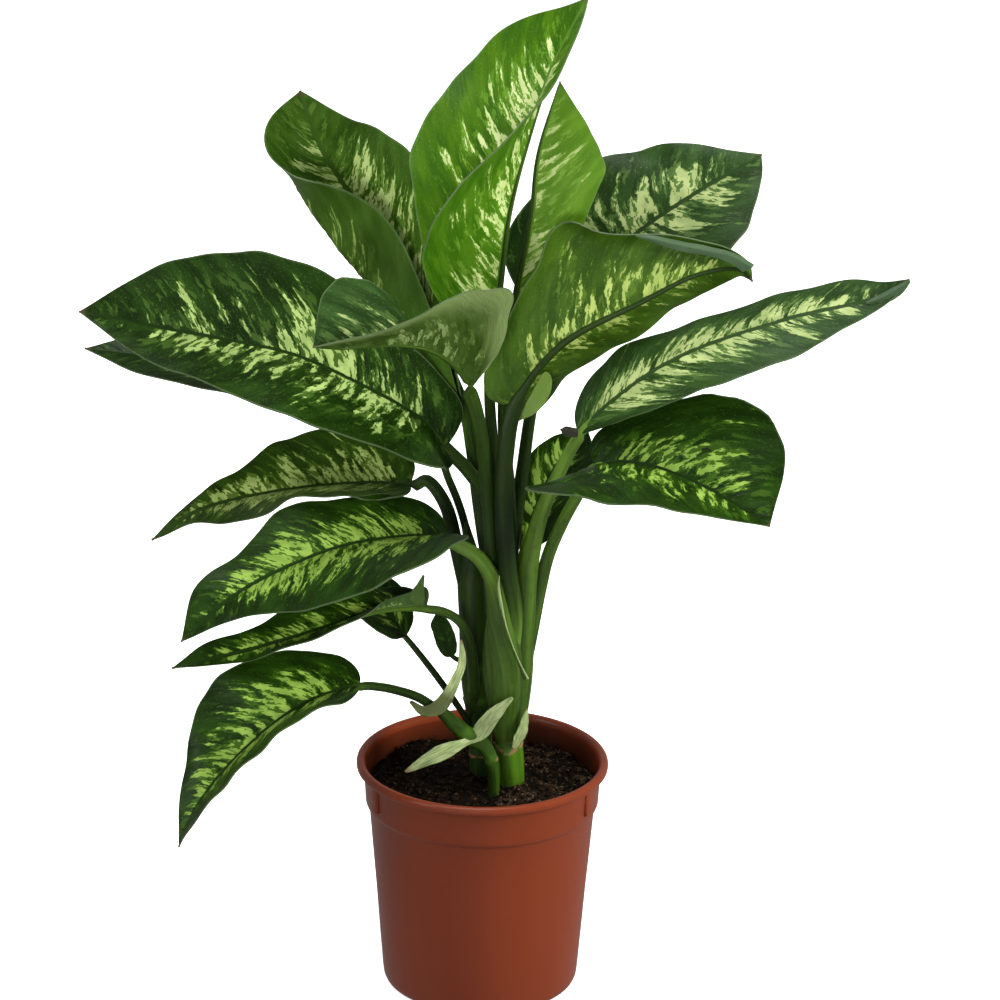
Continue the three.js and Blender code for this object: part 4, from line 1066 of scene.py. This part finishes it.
# Small lobes beside the main blades: a pale lobe and a rolled margin on the front right-hand leaf,
# a dried one and a rolled tip on the long leaf, and the pointed horn of the twisted leaf.
lobe_pale = stem_material(
    "pale_lobe", (0.130, 0.240, 0.036), (0.200, 0.320, 0.060), (0.340, 0.450, 0.165))
lobe_rolled = stem_material(
    "rolled_margin", (0.030, 0.062, 0.024), (0.058, 0.106, 0.046), (0.115, 0.172, 0.086))
lobe_dried = stem_material(
    "dried_lobe", (0.020, 0.019, 0.013), (0.045, 0.042, 0.030), (0.095, 0.095, 0.065))
lobe_horn = stem_material(
    "horn_lobe", (0.035, 0.075, 0.015), (0.085, 0.150, 0.035), (0.220, 0.300, 0.110))
leaf_lobes = {
    "leaf_upper_right_front": [
        dict(skin=lobe_pale, seed=31, wave=0.4,
             rib=[(44, -3, 487), (39, -1, 476), (32, 0, 462), (24, -1, 449)],
             face=[(0, -1, 0.3)], lift=([-10], [5]), wide=([3, 7, 9, 9, 8, 5, 0], [3, 3, 3, 3, 3, 2, 0])),
        dict(skin=lobe_rolled, seed=32, wave=0.3, round=0,
             rib=[(106, -5, 592), (123, -10, 590), (139, -13, 587), (156, -17, 585), (174, -21, 582),
                  (189, -25, 575)],
             face=[(0, -0.9, 0.4)], ahead=([0], [0, 0, -1, -5]), lift=([-35], [-25]),
             wide=([0.8, 3.2, 4.2, 3.8, 3.8, 3.2], [0.8, 3, 4, 3.6, 4.6, 6])),
    ],
    "leaf_right_long": [
        dict(skin=lobe_dried, seed=33, wave=0.2, rib=[(71, -13, 445), (62, -17, 446), (54, -20, 449)],
             face=[(0, -0.9, 0.4)], lift=([-20], [-20]),
             wide=([1.5, 2.6, 3.4, 3.8, 3.8, 3, 0], [1.5, 2.6, 3.4, 3.8, 3.8, 3, 0])),
        dict(skin=lobe_rolled, seed=35, wave=0.2, round=0,
             rib=[(270, -46, 556), (285, -47, 563), (300, -46, 573)],
             face=[(0, -0.9, 0.4)], lift=([-30], [-40]),
             wide=([0.8, 2.6, 3.2, 2.6, 0.8], [0.8, 4, 6, 5, 0.8])),
    ],
    "leaf_left_twisted": [
        dict(skin=lobe_horn, seed=34, wave=0.3, rib=[(-48, -9, 304), (-47, -12, 318), (-45, -15, 332)],
             face=[(0.1, -1, 0.2)], lift=([10], [10]),
             wide=([13, 11, 7, 3.5, 0.8], [3.5, 3.5, 2.5, 1.5, 0.8])),
    ],
}

crease = math.radians(55)
for node, leaf in leaf_table.items():
    name = node.replace("leaf_", "") + "_leaf"
    line = SmoothLine(leaf["stalk"] + leaf["rib"], lead=len(leaf["stalk"]))
    rows = max(24, min(130, int(line.blade_length / 2.2)))
    columns = max(10, min(72, int(sum(map(max, leaf["wide"])) / 1.8))) // 2 * 2
    age = leaf["age"]
    skins = (upper[age], under.get(leaf.get("back", age), under["old"]), margin_skin)
    blade = solid_blade(leaf, line, name, rows, columns, skins)
    stalk = stalk_and_rib(leaf, line, name + "_stalk")
    stalk.data.materials.append(stalk_skin)
    parts = [blade, stalk]
    for lobe in leaf_lobes.get(node, ()):
        parts.append(solid_blade(lobe, SmoothLine(lobe["rib"]), name + "_lobe", 36, 14, [lobe["skin"]] * 3))
    if node == "leaf_left_third":
        edge, at, angle = ringed_rod("sheath_edge", 12, 40)
        lay_rod(edge, sheath_edge_line, at, angle, eased(sheath_edge_radii, at))
        edge.data.materials.append(sheath_edge_skin)
        parts.append(edge)
    select_only(*parts)
    bpy.ops.object.join()
    bpy.ops.object.shade_smooth_by_angle(angle=crease)
    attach(blade, "root")
    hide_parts(node)

# ---------------------------------------------------------------------------------------------
# The withered remains. Dry, papery ends of old leaves and sheaths, yellow-green to brown, which
# still hang on at the foot of the canes. The lower half of the left sheath is still olive green;
# the cover value tells the material which piece that is.
withered_table = {
    "withered_leaf_front": dict(
        seed=21, wave=1.2, cover=0.0, round=0,
        rib=[(22, -24, 239), (8, -27, 226), (-5, -27, 208), (-20, -36, 204), (-39, -44, 197),
             (-57, -50, 189)],
        face=[(0.1, -0.8, 0.6), (-0.1, -0.6, 0.8)],
        wide=([1, 5, 6.5, 3, 6, 5, 1], [1, 5, 6.5, 3, 6, 5, 1]), lift=([10], [10])),
    "withered_sheath_left": dict(
        seed=22, wave=0.8, cover=1.0, round=0,
        rib=[(-54, -34, 239), (-43, -36, 232), (-31, -34, 236), (-22, -27, 250), (-16, -20, 266),
             (-17, -17, 282)],
        face=[(0, -0.8, 0.6), (0.3, -0.9, 0)],
        wide=([1, 4, 6, 4.5, 3.4, 2.8, 1], [1, 4, 5, 4, 3.4, 2.8, 1]), lift=([10], [10])),
    "withered_scrap": dict(
        seed=23, wave=0.5, cover=0.0, round=0,
        rib=[(23.5, -12, 193), (30, -13, 209), (33, -11, 225)],
        face=[(0.5, -0.9, 0), (0.6, -0.8, 0)],
        wide=([1.5, 4.5, 4.5, 3, 0.5], [1.5, 4.5, 4.5, 3, 0.5])),
}

papery = Finish("papery_leaf")
fibres = papery.noise(papery.scaled(papery.stored("vein"), (0.09, 0.9, 1.0)), 5.0, 0.65)
share, _, cover = papery.parts(papery.stored("place"))
colour = papery.ramp(fibres, (0.30, (0.09, 0.145, 0.030)), (0.66, (0.40, 0.475, 0.215)))
olive = papery.maths("MULTIPLY", papery.spread(share, 0.42, 0.54, 0.9, 0.0), cover)
colour = papery.blend(olive, colour, (0.050, 0.064, 0.013))
colour = papery.blend(papery.spread(share, 0.93, 1.0), colour, (0.16, 0.09, 0.04))
papery.surface({"Base Color": colour, "Roughness": 0.62})
papery.relief(fibres, 0.5, 0.0006)

for node, leaf in withered_table.items():
    blade = solid_blade(leaf, SmoothLine(leaf["rib"]), node + "_piece", 56, 16, [papery.material] * 3, 0.9)
    select_only(blade)
    bpy.ops.object.shade_smooth_by_angle(angle=crease)
    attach(blade, "root")
    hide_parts(node)
